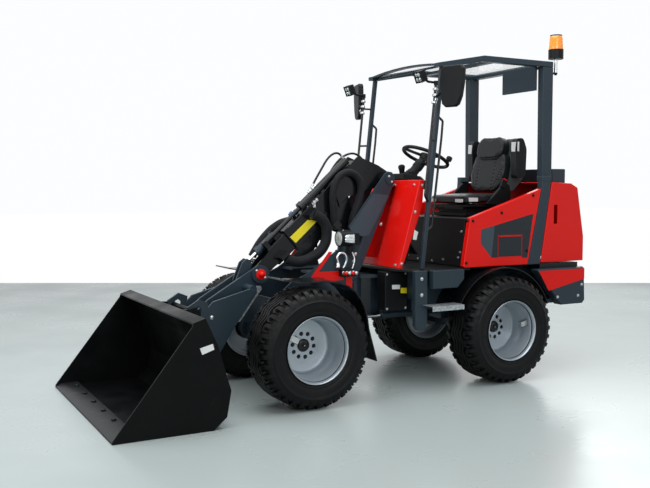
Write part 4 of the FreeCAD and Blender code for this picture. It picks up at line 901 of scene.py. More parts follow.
# section of the rim round its disc, as (distance from the axle, outward of its middle) in mm
RIM_SECTION = ((110, -58), (150, -56), (160, -53), (164, -52), (170, -55), (174, -50),
               (176, -40), (177, 20), (178, 50), (181, 58), (190, 104), (192, 112),
               (195.5, 118), (196, 130), (197, 134), (199, 141), (202, 146), (205, 149.5),
               (207, 150), (208.5, 148), (208.5, 144.5), (205, 141), (201, 137), (199, 126),
               (197, 112), (188, 58), (185, 48), (184, -40), (186, -70), (192, -100),
               (192, -134), (196, -139), (204, -143), (208.5, -145), (208.5, -149),
               (204, -150), (192, -142), (185, -132), (185, -100), (180, -76), (176, -60),
               (168, -60), (150, -63), (110, -65))
DISC_EDGE, DISC_BORE, NUT_HOLE = 0.110, 0.042, 0.014    # radii
DISC_FACES = (-58, -65)     # outer and inner face of the rim's disc, outward of its middle, in mm
NUT_START = 0.3             # turn of the nut circle, as a share of the step between two nuts


def flat_circle(across, up, radius, steps, way):
    """Return a circle in a plane, clockwise or, with way -1, the other way round for a hole."""
    return [Vector((across + radius * math.sin(way * 2 * math.pi * i / steps),
                    up + radius * math.cos(2 * math.pi * i / steps), 0)) for i in range(steps)]


class LOADER_OT_rims(bpy.types.Operator):
    """Roll the four deep-dished rims, with their wheel nuts, hubs and valve guards"""

    bl_idname = "loader.rims"
    bl_label = "Rims"

    def execute(self, context):
        settings = context.scene.loader_wheels
        for corner, (x, side, _, lean) in CORNERS.items():
            centre = Vector((x, side * WHEEL_Y, WHEEL_Z))
            body = f"wheel_{corner}"
            mesh = bmesh.new()
            spun(mesh, [(r * MM, y * MM) for r, y in RIM_SECTION], centre, side, 96)
            flat = [flat_circle(0, 0, DISC_EDGE, 96, 1), flat_circle(0, 0, DISC_BORE, 40, -1)]
            for k in range(settings.nuts):
                a = 2 * math.pi * (k + NUT_START) / settings.nuts
                flat.append(flat_circle(settings.nut_circle * math.sin(a),
                                        settings.nut_circle * math.cos(a), NUT_HOLE, 18, -1))
            points = [point for loop in flat for point in loop]
            triangles = tessellate_polygon(flat)
            for level in DISC_FACES:
                verts = [mesh.verts.new((centre.x + p.x, centre.y + side * level * MM,
                                         centre.z + p.y)) for p in points]
                for triangle in triangles:
                    mesh.faces.new([verts[i] for i in triangle])
                if level == DISC_FACES[0]:
                    front = verts
            start = 0
            for loop in flat:
                for i in range(len(loop)):
                    j = (i + 1) % len(loop)
                    mesh.faces.new((front[start + i], front[start + j], verts[start + j],
                                    verts[start + i]))
                start += len(loop)
            rim = piece(f"rim_shell_{corner}", mesh, coat(wheel_lacquer), body,
                        smooth=30)
            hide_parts(f"rim_{corner}")
            axle = Vector((0, side, 0))
            mesh = bmesh.new()
            turned(mesh, centre - axle * 0.0665, axle,
                   [(0, 0.094), (0.0005, 0.094), (0.001, 0.041), (0.014, 0.040), (0.020, 0.037),
                    (0.023, 0.030), (0.0235, 0.014), (0.0285, 0.012), (0.029, 0.002)], 40)
            for k in range(settings.nuts):
                a = 2 * math.pi * (k + NUT_START) / settings.nuts
                spot = centre + Vector((settings.nut_circle * math.sin(a), 0,
                                        settings.nut_circle * math.cos(a))) - axle * 0.066
                turned(mesh, spot, axle, [(0, 0.0105), (0.002, 0.0105), (0.002, 0.0085),
                                          (0.006, 0.0085), (0.008, 0.007)], 6)
            piece(f"hub_{corner}", mesh, coat(black_enamel), body, smooth=30)
            mesh = bmesh.new()
            out = Vector((math.sin(lean), 0, math.cos(lean)))
            across = Vector((math.cos(lean), 0, -math.sin(lean)))
            foot = centre + out * 0.183 + axle * 0.098
            turned(mesh, centre - axle * 0.043, axle, [(0, 0.007), (0.004, 0.006),
                                                       (0.006, 0.002)], 12)
            for near, far, deep in ((-0.021, 0.021, 0.003), (0.018, 0.021, 0.030),
                                    (-0.021, -0.018, 0.030)):
                ring = [foot + out * -0.060 + across * near, foot + out * -0.060 + across * far,
                        foot + out * -0.003 + across * far, foot + out * -0.003 + across * near]
                loft(mesh, [ring, [p - axle * deep for p in ring]])
            bar(mesh, foot - axle * 0.016, foot - axle * 0.016 - out * 0.050, 0.0045, 10)
            piece(f"valve_guard_{corner}", mesh, coat(zinc_plating), body,
                  bevel=0.0006, segments=1)
        return {"FINISHED"}


# ---------------------------------------------------------------- hoses

HOSES = {
    "loop_hose": (25, "boom", [
        (-32, 94, 1069), (-37, 95, 1127), (-58, 100, 1192), (-88, 104, 1258),
        (-106, 105, 1330), (-98, 105, 1398), (-58, 105, 1444), (0, 105, 1461), (57, 105, 1441),
        (99, 105, 1388), (117, 105, 1318), (116, 105, 1245), (108, 105, 1170),
        (104, 105, 1098)]),
    "under_hose": (36, "boom", [
        (262, 103, 1176), (222, 106, 1158), (186, 108, 1124), (168, 108, 1082),
        (164, 108, 1036), (172, 108, 990), (194, 108, 948), (228, 108, 914), (272, 107, 888),
        (322, 105, 868), (372, 101, 858), (420, 95, 864), (460, 91, 884)]),
    "far_hose": (28, "boom", [
        (262, -104, 1136), (312, -106, 1131), (368, -107, 1123), (425, -107, 1104),
        (478, -106, 1070), (526, -105, 1026), (569, -104, 976), (602, -103, 928),
        (622, -102, 892)]),
    "front_arch_hose": (7.5, "boom", [
        (252, 46, 1348), (238, 47, 1375), (218, 48, 1410), (195, 49, 1447), (170, 50, 1487),
        (140, 50, 1535), (104, 50, 1573), (61, 50, 1592), (24, 50, 1578), (12, 50, 1556)]),
    "rear_arch_hose": (7.5, "boom", [
        (124, -8, 1386), (108, -8, 1412), (84, -8, 1446), (56, -8, 1487), (24, -8, 1527),
        (-14, -8, 1561), (-58, -8, 1584), (-106, -8, 1593), (-152, -8, 1578), (-189, -8, 1545),
        (-206, -8, 1500), (-197, -8, 1463), (-160, -8, 1449)]),
}
BENDS = {
    "loop_hose": ("front_chassis", "boom", (-0.05, 0.10, 1.20), (0.055, 0.10, 1.243)),
    "under_hose": ("boom", "boom_extension", (0.19, 0.10, 1.06), (0.40, 0.10, 0.871)),
    "far_hose": ("boom", "boom_extension", (0.33, -0.10, 1.13), (0.56, -0.10, 0.923)),
}


def crimp(mesh, end, before, radius, size):
    """Put a crimped ferrule and its nut on the end of a hose, pointing out along its line."""
    ahead = (end - before).normalized()
    grips = [(-0.030 + 0.004 * k + d, radius * (1.14 if d else 1.06))
             for k in range(6) for d in (0.0, 0.0025)]
    turned(mesh, end, ahead, [(-0.034, radius * 1.02), *grips, (-0.004, radius * 1.1),
                              (-0.002, size * 0.7)], 20)
    turned(mesh, end, ahead, [(-0.004, size), (0.010, size), (0.012, size * 0.86)], 6)


class HoseSettings(bpy.types.PropertyGroup):
    """Sizes of the hoses' sleeves and ends."""

    bulge: FloatProperty(name="Sleeve bulge", description="Share by which a sleeve swells and "
                         "gathers along its length", default=0.035, min=0, max=0.1)
    bulge_pitch: FloatProperty(name="Bulge pitch", description="Distance from one gather of a "
                               "sleeve to the next", default=0.085, min=0.02, max=0.3,
                               unit="LENGTH")


class LOADER_OT_hoses(bpy.types.Operator):
    """Lay the sleeved hoses and the thin hoses over the boom, with their crimped ends"""

    bl_idname = "loader.hoses"
    bl_label = "Hoses"

    def execute(self, context):
        settings = context.scene.loader_hoses
        ends = bmesh.new()
        for name, (radius, body, route) in HOSES.items():
            points = [Vector(point) * MM for point in route]
            line = smooth_line(points, 8)
            thick = radius > 20

            def swell(run):
                first = math.sin(2 * math.pi * run / settings.bulge_pitch)
                return 1 - settings.bulge * (1 + first * math.sin(9.7 * run)) / 2

            mesh = bmesh.new()
            sweep(mesh, line, radius * MM, 28 if thick else 14,
                  ripple=swell if thick else None)
            made = piece(f"{name}_sleeve" if thick else f"{name}_line", mesh,
                         coat(textile_sleeve if thick else hose_rubber),
                         None if name in BENDS else body, smooth=60)
            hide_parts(name)
            if name in BENDS:
                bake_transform(made)
            if not thick:
                crimp(ends, line[0], line[2], radius * MM, 0.0105)
                crimp(ends, line[-1], line[-3], radius * MM, 0.0105)
        piece("arch_hose_ends", ends, coat(zinc_plating), "boom", smooth=35)
        return {"FINISHED"}


# ---------------------------------------------------------------- seat and controls

class SeatSettings(bpy.types.PropertyGroup):
    """Sizes of the seat's pads."""

    voxel: FloatProperty(name="Foam grain", description="Voxel size of the pads before they are "
                         "blown up", default=0.006, min=0.003, max=0.02, unit="LENGTH")
    cap: FloatProperty(name="Swell", description="Farthest that a pad's cover may move when it "
                       "is blown up", default=0.008, min=0.0, max=0.04, unit="LENGTH")
    groove: FloatProperty(name="Seam depth", description="Depth of the sewn channels",
                          default=0.007, min=0.0, max=0.02, unit="LENGTH")


ARC_STEPS = 4
CLOTH_FRAMES = 20
SEAM_SPREAD = 0.0045        # how far a seam's channel reaches to each side


def rounded(points, reach):
    """Return a flat closed outline with its corners cut by arcs."""
    result = []
    count = len(points)
    for i, point in enumerate(points):
        here = Vector(point)
        before = (Vector(points[i - 1]) - here)
        after = (Vector(points[(i + 1) % count]) - here)
        size = min(reach, before.length * 0.45, after.length * 0.45)
        start, end = here + before.normalized() * size, here + after.normalized() * size
        for k in range(ARC_STEPS + 1):
            t = k / ARC_STEPS
            spot = start * (1 - t) ** 2 + here * 2 * t * (1 - t) + end * t ** 2
            result.append((spot.x, spot.y))
    return result


def stuffed(name, mesh, place, seams, settings):
    """Blow a pad up like foam in a sewn cover, then press its seams in.

    The pad is made flat in its own (across, along, out) frame, and place puts it on the seat.
    Each seam is a line of (across, along) points that a channel follows on the pad's face.
    """
    made = piece(name, mesh, coat(seat_vinyl), None, bevel=0.014, segments=3,
                 smooth=180)
    remesh = made.modifiers.new("Foam", "REMESH")
    remesh.mode = "VOXEL"
    remesh.voxel_size = settings.voxel
    apply_modifiers(made)
    rest = [vertex.co.copy() for vertex in made.data.vertices]
    cloth = made.modifiers.new("Cover", "CLOTH")
    cloth.settings.use_pressure = True
    cloth.settings.uniform_pressure_force = 4
    cloth.settings.quality = 5
    cloth.settings.effector_weights.gravity = 0
    cloth.settings.tension_stiffness = 25
    cloth.settings.compression_stiffness = 25
    for step in range(1, CLOTH_FRAMES + 1):
        bpy.context.scene.frame_set(step)
    apply_modifiers(made)
    for vertex, start in zip(made.data.vertices, rest):
        move = vertex.co - start
        if move.length > settings.cap:
            vertex.co = start + move.normalized() * settings.cap
    bpy.context.scene.frame_set(1)
    finer = made.modifiers.new("Finer", "SUBSURF")
    finer.levels = 1
    apply_modifiers(made)
    lines = [[Vector(point) for point in smooth_line([(*p, 0) for p in seam], 6)]
             for seam in seams]
    for vertex in made.data.vertices:
        if vertex.co.z < 0:
            continue
        flat = Vector((vertex.co.x, vertex.co.y, 0))
        for line in lines:
            gap = min((flat - point).length_squared for point in line)
            vertex.co.z -= settings.groove * math.exp(-gap / (2 * SEAM_SPREAD ** 2))
    made.data.transform(place)
    for face in made.data.polygons:
        face.use_smooth = True
    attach(made, "chassis")
    return made


def seat_place(origin, ahead, up):
    """Return the placing of a pad whose face looks along one direction, with its top along up."""
    ahead, up = Vector(ahead).normalized(), Vector(up).normalized()
    side = up.cross(ahead)
    turn = Matrix((side, up, ahead)).transposed().to_4x4()
    return Matrix.Translation(Vector(origin)) @ turn


class LOADER_OT_seat(bpy.types.Operator):
    """Sew the seat: its cushion, its two back pads, the arm rests and the ribbed shell"""

    bl_idname = "loader.seat"
    bl_label = "Seat"

    def execute(self, context):
        settings = context.scene.loader_seat
        wide = [(-225, -340), (225, -340), (236, -180), (222, 10), (150, 26), (-150, 26),
                (-222, 10), (-236, -180)]
        mesh = bmesh.new()
        slab(mesh, [(a * MM, b * MM) for a, b in rounded(wide, 45)], -0.046, 0.0, "XY")
        place = seat_place(mm(-925, 0, 1289), (0.05, 0, 1), (1, 0, -0.05))
        seams = [[(-0.145, -0.33), (-0.15, -0.16), (-0.13, 0.02)],
                 [(0.145, -0.33), (0.15, -0.16), (0.13, 0.02)],
                 [(-0.15, -0.05), (0, -0.04), (0.15, -0.05)],
                 [(-0.15, -0.2), (0, -0.2), (0.15, -0.2)]]
        cushion = stuffed("seat_pad", mesh, place, seams, settings)
        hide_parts("seat_cushion")
        lower = [(-150, 5), (150, 5), (196, 110), (198, 210), (172, 300), (-172, 300),
                 (-198, 210), (-196, 110)]
        mesh = bmesh.new()
        slab(mesh, [(a * MM, b * MM) for a, b in rounded(lower, 60)], -0.062, 0.0, "XY")
        place = seat_place(mm(-1250, 0, 1322), (0.974, 0, 0.227), (-0.227, 0, 0.974))
        seams = [[(-0.088, 0.0), (-0.1, 0.14), (-0.09, 0.31)],
                 [(0.088, 0.0), (0.1, 0.14), (0.09, 0.31)],
                 [(-0.19, 0.2), (-0.13, 0.1), (-0.11, 0.0)],
                 [(0.19, 0.2), (0.13, 0.1), (0.11, 0.0)]]
        back = stuffed("seat_back_pad", mesh, place, seams, settings)
        upper = [(-95, 240), (95, 240), (152, 285), (158, 370), (108, 424), (-108, 424),
                 (-158, 370), (-152, 285)]
        mesh = bmesh.new()
        slab(mesh, [(a * MM, b * MM) for a, b in rounded(upper, 70)], -0.052, 0.020, "XY")
        seams = [[(-0.1, 0.262), (0, 0.252), (0.1, 0.262)]]
        head = stuffed("seat_shoulder_pad", mesh, place, seams, settings)
        arms, strips = bmesh.new(), bmesh.new()
        for side in (1, -1):
            outline = rounded([(-1.330, 1.430), (-1.322, 1.640), (-1.336, 1.716),
                               (-1.392, 1.718), (-1.426, 1.640), (-1.418, 1.440),
                               (-1.372, 1.420)], 0.022)
            side_slab(arms, outline, side, 0.228, 0.284)
            strip = [(-1.332, 1.618), (-1.3285, 1.688), (-1.3205, 1.688), (-1.320, 1.618)]
            side_slab(strips, strip, side, 0.236, 0.276)
            side_slab(strips, rounded([(-1.336, 1.62), (-1.336, 1.69), (-1.352, 1.69),
                                       (-1.352, 1.62)], 0.004), side, 0.2835, 0.2855)
            side_slab(strips, rounded([(-0.930, 1.252), (-0.930, 1.280), (-1.010, 1.280),
                                       (-1.010, 1.252)], 0.004), side, 0.235, 0.2415)
        for low, high in ((-0.21, -0.12), (0.12, 0.21)):
            slab(strips, rounded([(low, 1.246), (low, 1.270), (high, 1.270), (high, 1.246)],
                                 0.004), -0.8995, -0.8955, "YZ")
        pads = piece("seat_arm_rests", arms, coat(seat_vinyl), "chassis",
                     bevel=0.012, segments=3)
        for made in (back, head, pads):
            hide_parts("seat_backrest")
        piece("seat_reflective_strips", strips, coat(white_film), "chassis",
              bevel=0.001, segments=1)
        shell = bmesh.new()
        slab(shell, rounded([(-1.330, 1.330), (-1.372, 1.330), (-1.462, 1.420), (-1.474, 1.706),
                             (-1.440, 1.724), (-1.385, 1.716), (-1.375, 1.640)], 0.014),
             -0.205, 0.205, "XZ")
        for side in (1, -1):
            for k in range(4):
                x = -1.392 - 0.022 * k
                bar(shell, (x, side * 0.204, 1.43), (x - 0.006, side * 0.204, 1.705), 0.006, 10)
        piece("seat_shell", shell, coat(shell_plastic), "chassis",
              bevel=0.006, segments=2)
        trim = bmesh.new()
        for side in (1, -1):
            cover = rounded([(-1.075, 1.232), (-1.240, 1.385), (-1.285, 1.372), (-1.300, 1.300),
                             (-1.280, 1.225)], 0.01)
            side_slab(trim, cover, side, 0.236, 0.262)
        block(trim, (-0.925, -0.19, 1.196), (-0.91, 0.19, 1.214))
        for y in (-0.12, -0.07):
            bar(trim, (-0.92, y, 1.205), (-0.875, y, 1.192), 0.006, 10)
        piece("seat_side_covers", trim, coat(moulded_plastic), "chassis",
              bevel=0.004, segments=2)
        buckle, button = bmesh.new(), bmesh.new()
        turn = Matrix.Rotation(math.radians(-20), 3, "Y")
        centre = Vector((-1.232, 0.262, 1.392))
        block(buckle, (-1.252, 0.248, 1.352), (-1.212, 0.272, 1.412), turn, centre)
        block(button, (-1.246, 0.252, 1.408), (-1.218, 0.274, 1.416), turn, centre)
        piece("belt_buckle", buckle, coat(moulded_plastic), "chassis",
              bevel=0.004)
        piece("belt_button", button, coat(red_powder_coat), "chassis",
              bevel=0.002)
        return {"FINISHED"}


class LOADER_OT_controls(bpy.types.Operator):
    """Fit the steering wheel with its knob, the column's boot, the joystick and the pedals"""

    bl_idname = "loader.controls"
    bl_label = "Controls"

    def execute(self, context):
        foot = mm(*COLUMN_FOOT)
        along = mm(*WHEEL_HUB) - foot
        boot = bmesh.new()
        folds = [(0.0, 0.052), (0.008, 0.054), (0.014, 0.048), (0.026, 0.050), (0.032, 0.044),
                 (0.044, 0.046), (0.050, 0.040), (0.062, 0.042), (0.070, 0.036), (0.105, 0.035),
                 (0.115, 0.0395), (0.165, 0.037), (0.178, 0.031)]
        turned(boot, foot, along, folds, 36)
        bar(boot, foot + along * 0.62, foot + along * 0.62 + mm(0, 118, 22), 0.006, 10)
        turned(boot, foot + along * 0.62 + mm(0, 112, 21), mm(0, 118, 22),
               [(0, 0.006), (0.006, 0.011), (0.034, 0.012), (0.04, 0.006)], 16)
        piece("column_boot", boot, coat(moulded_plastic), "chassis", smooth=50)
        stick = bmesh.new()
        turned(stick, mm(-575, -96, 1412), (0, 0, 1),
               [(0, 0.034), (0.01, 0.036), (0.016, 0.028), (0.024, 0.030), (0.030, 0.020),
                (0.036, 0.021), (0.042, 0.010), (0.060, 0.008)], 28)
        turned(stick, mm(-575, -96, 1452), (0.1, 0, 1),
               [(0, 0.010), (0.006, 0.019), (0.030, 0.021), (0.048, 0.026), (0.062, 0.023),
                (0.070, 0.010)], 24)
        block(stick, (-0.545, 0.055, 1.436), (-0.500, 0.140, 1.458))
        for k in range(4):
            block(stick, (-0.540, 0.062 + 0.019 * k, 1.456), (-0.520, 0.074 + 0.019 * k, 1.466))
        piece("joystick", stick, coat(moulded_plastic), "chassis", bevel=0.002,
              segments=2, smooth=45)
        centre = mm(*WHEEL_HUB)
        turn = Matrix.Rotation(math.radians(-25), 3, "Y")
        cap = bmesh.new()
        turned(cap, centre + turn @ Vector((0, 0, 0.011)), turn @ Vector((0, 0, 1)),
               [(0, 0.043), (0.006, 0.0425), (0.011, 0.036), (0.0125, 0.004)], 36)
        knob = centre + turn @ mm(-120, 118, 0)
        ahead = turn @ Vector((0, 0, 1))
        turned(cap, knob + ahead * 0.022, ahead,
               [(0, 0.012), (0.006, 0.019), (0.018, 0.0225), (0.030, 0.0205), (0.036, 0.012),
                (0.038, 0.003)], 28)
        for k in range(3):
            a = math.radians(90 + 120 * k)
            way = turn @ Vector((math.cos(a), math.sin(a), 0))
            side = turn @ Vector((-math.sin(a), math.cos(a), 0))
            ring = [[centre + way * reach + side * wide * s + ahead * (0.0045 + lift)
                     for s, lift in ((-1, -0.004), (-1, 0.004), (1, 0.004), (1, -0.004))]
                    for reach, wide in ((0.036, 0.021), (0.090, 0.014), (0.160, 0.0165))]
            loft(cap, ring)
        piece("steering_hub_cover", cap, coat(moulded_plastic), "steering",
              bevel=0.0015, segments=1, smooth=50)
        pedals = bmesh.new()
        for y, wide in ((-0.22, 0.05), (0.16, 0.045)):
            turn = Matrix.Rotation(math.radians(-52), 3, "Y")
            centre = Vector((-0.475, y, 0.93))
            block(pedals, (-0.53, y - wide, 0.925), (-0.42, y + wide, 0.935), turn, centre)
            for k in range(5):
                x = -0.52 + 0.022 * k
                block(pedals, (x, y - wide + 0.006, 0.933), (x + 0.008, y + wide - 0.006, 0.939),
                      turn, centre)
            bar(pedals, (-0.470, y, 0.925), (-0.43, y, 0.815), 0.008, 10)
        piece("pedals", pedals, coat(moulded_plastic), "chassis", bevel=0.001,
              segments=1)
        return {"FINISHED"}


# ---------------------------------------------------------------- films and labels

FILM_SINK = 0.3     # how far a film's back lies inside its plate, in mm
EDGE_FACE = [(1652, 23.5), (1652, 25), (1760, 25), (1799, 9.5), (1799, 7), (1760, 22)]

# name: finish, slot, body, sides, distance of the face from the middle, thickness, outline (mm)
FILMS = {
    "panel_film": (grey_film, "slate_paint", "chassis", (1, -1), 500, 0.6, [
        (-834, 1064), (-953, 1089), (-928, 865), (-831, 967)]),
    "panel_film_left": (dark_film, "slate_paint", "chassis", (1,), 500, 0.6, [
        (-953, 1089), (-1303, 1166), (-1254, 853), (-1203, 855), (-1203, 1019), (-985, 1019),
        (-985, 863), (-928, 865)]),
    "panel_film_right": (dark_film, "slate_paint", "chassis", (-1,), 500, 0.6, [
        (-953, 1089), (-1303, 1166), (-1254, 853), (-928, 865)]),
    "flap_film": (dark_film, "slate_paint", "flap", (1,), 501, 0.5, [
        (-1198, 870), (-990, 870), (-990, 1014), (-1198, 1014)]),
    "bumper_film": (red_powder_coat, "red_paint", "chassis", (1, -1), 550, 0.8, [
        (-1319, 758), (-1762, 758), (-1762, 680), (-1415, 610)]),
    "mast_film": (grey_film, "slate_paint", "front_chassis", (1, -1), 135, 0.6, [
        (0, 1080), (-184, 1312), (-312, 1300), (-150, 1024), (-100, 1020), (-14, 1050)]),
    "boom_label": (yellow_film, "black_plastic", "boom", (1,), 71, 0.6, [
        (424, 1024), (291, 1137), (218, 1130), (381, 984)]),
    "bucket_label": (white_film, "black_plastic", "tool", (1,), 750, 0.5, [
        (1309, 471), (1233, 490), (1225, 457), (1296, 434)]),
    "shield_label": (white_film, "black_plastic", "chassis", (1,), 385, 0.5, [
        (-358, 1068), (-389, 1052), (-374, 999), (-345, 1003)]),
    "side_box_label": (white_film, "black_plastic", "chassis", (1,), 300, 0.5, [
        (-236, 692), (-300, 690), (-300, 660), (-236, 662)]),
    "side_box_notice": (yellow_film, "black_plastic", "chassis", (1,), 300, 0.5, [
        (-306, 668), (-356, 666), (-356, 628), (-306, 632)]),
    "carrier_wear_bar": (galvanised_steel, "zinc_steel", "tool", (1, -1), 188, 8, [
        (866, 506), (838, 506), (686, 708), (694, 726), (722, 726), (740, 690)]),
    "front_frame_panels": (red_powder_coat, "red_paint", "front_chassis", (1, -1), 240, 3, [
        (110, 738), (352, 738), (352, 772), (222, 932), (196, 928), (300, 800), (110, 800)]),
    "articulation_guard": (red_powder_coat, "red_paint", "front_chassis", (1, -1), 238, 5, [
        (46, 760), (92, 760), (92, 560), (62, 520), (46, 520)]),
    "cutting_edge_face": (worn_edge_steel, "black_paint", "tool", (1,), 0, 740, EDGE_FACE),
    "cutting_edge_far": (worn_edge_steel, "black_paint", "tool", (-1,), 0, 740, EDGE_FACE),
    "hose_guide": (black_enamel, "black_paint", "boom", (1,), 52, 9, [
        (180, 1110), (186, 1010), (236, 936), (320, 896), (372, 930), (300, 1060)]),
    "tail_deck": (black_enamel, "black_paint", "chassis", (1, -1), 0.3, 470, [
        (-1770, 764), (-1770, 800), (-1400, 800), (-1400, 764)]),
}

# name: finish, slot, body, direction, width across flats, points on one side (mm)
BOLTS = {
    "panel_bolts": (moulded_plastic, "black_plastic", "chassis", (0, 1, 0), 15, [
        (-763, 500, 1124), (-1014, 500, 1176), (-1300, 500, 1297), (-1248, 500, 903),
        (-709, 500, 837), (-715, 500, 1126)]),
    "shield_bolts": (zinc_plating, "zinc_steel", "chassis", (0, 1, 0), 14, [
        (-362, 385, 1190), (-255, 385, 842), (-420, 385, 1370)]),
    "shield_face_bolts": (zinc_plating, "zinc_steel", "chassis", (0.961, 0, 0.278), 14, [
        (-391.5, 330, 1371), (-391.5, 90, 1371), (-236, 340, 832)]),
    "seat_box_bolts": (zinc_plating, "zinc_steel", "chassis", (1, 0, 0), 14, [
        (-720, 420, 905), (-720, 89, 824), (-720, 221, 841), (-720, 397, 866),
        (-720, 430, 1050)]),
    "sill_bolts": (zinc_plating, "zinc_steel", "chassis", (0, 1, 0), 18, [
        (-330, 514, 748), (-330, 514, 640)]),
    "bumper_bolts": (zinc_plating, "zinc_steel", "chassis", (0, 1, 0), 16, [
        (-1500, 550, 560), (-1700, 550, 560), (-1735, 550, 640)]),
    "side_box_bolts": (zinc_plating, "zinc_steel", "chassis", (0, 1, 0), 12, [
        (-195, 300, 765), (-345, 300, 765), (-195, 300, 530), (-345, 300, 530)]),
    "mast_bolts": (zinc_plating, "zinc_steel", "front_chassis", (0, 1, 0), 16, [
        (-250, 135, 1100), (-45, 135, 900), (-30, 135, 850)]),
    "pivot_bolts": (zinc_plating, "zinc_steel", "front_chassis", (0, 1, 0), 12, [
        (-308, 143, 1431), (-332, 143, 1393)]),
    "front_frame_bolts": (zinc_plating, "zinc_steel", "front_chassis", (0, 1, 0), 20, [
        (420, 240, 700), (480, 240, 700), (420, 240, 620)]),
    "carrier_bolts": (zinc_plating, "zinc_steel", "tool", (0, 1, 0), 18, [
        (1029, 200, 548), (1080, 200, 300)]),
    "edge_bolts": (worn_edge_steel, "black_paint", "tool", (0, 0, 1), 26, [
        (1690, 120, 24), (1690, 360, 24), (1690, 600, 24)]),
}


class LOADER_OT_films(bpy.types.Operator):
    """Lay the two-tone films, the blank labels and the bolted bars on their plates"""

    bl_idname = "loader.films"
    bl_label = "Films and labels"

    def execute(self, context):
        for name, (maker, slot, body, sides, face, thick, outline) in FILMS.items():
            mesh = bmesh.new()
            for side in sides:
                side_slab(mesh, [(x * MM, z * MM) for x, z in outline], side,
                          (face - FILM_SINK) * MM, (face + thick) * MM)
            piece(name, mesh, coat(maker), body)
        return {"FINISHED"}


class LOADER_OT_bolts(bpy.types.Operator):
    """Fit the visible screws and bolts of the panels, the frames and the bucket's edge"""

    bl_idname = "loader.bolts"
    bl_label = "Bolts"

    def execute(self, context):
        for name, (maker, slot, body, way, across, points) in BOLTS.items():
            mesh = bmesh.new()
            for x, y, z in points:
                for side in (1, -1):
                    hex_bolt(mesh, mm(x, side * y, z), (way[0], side * way[1], way[2]),
                             across * MM)
            piece(name, mesh, coat(maker), body, smooth=40)
        return {"FINISHED"}


# ---------------------------------------------------------------- lamps, mirrors and beacon

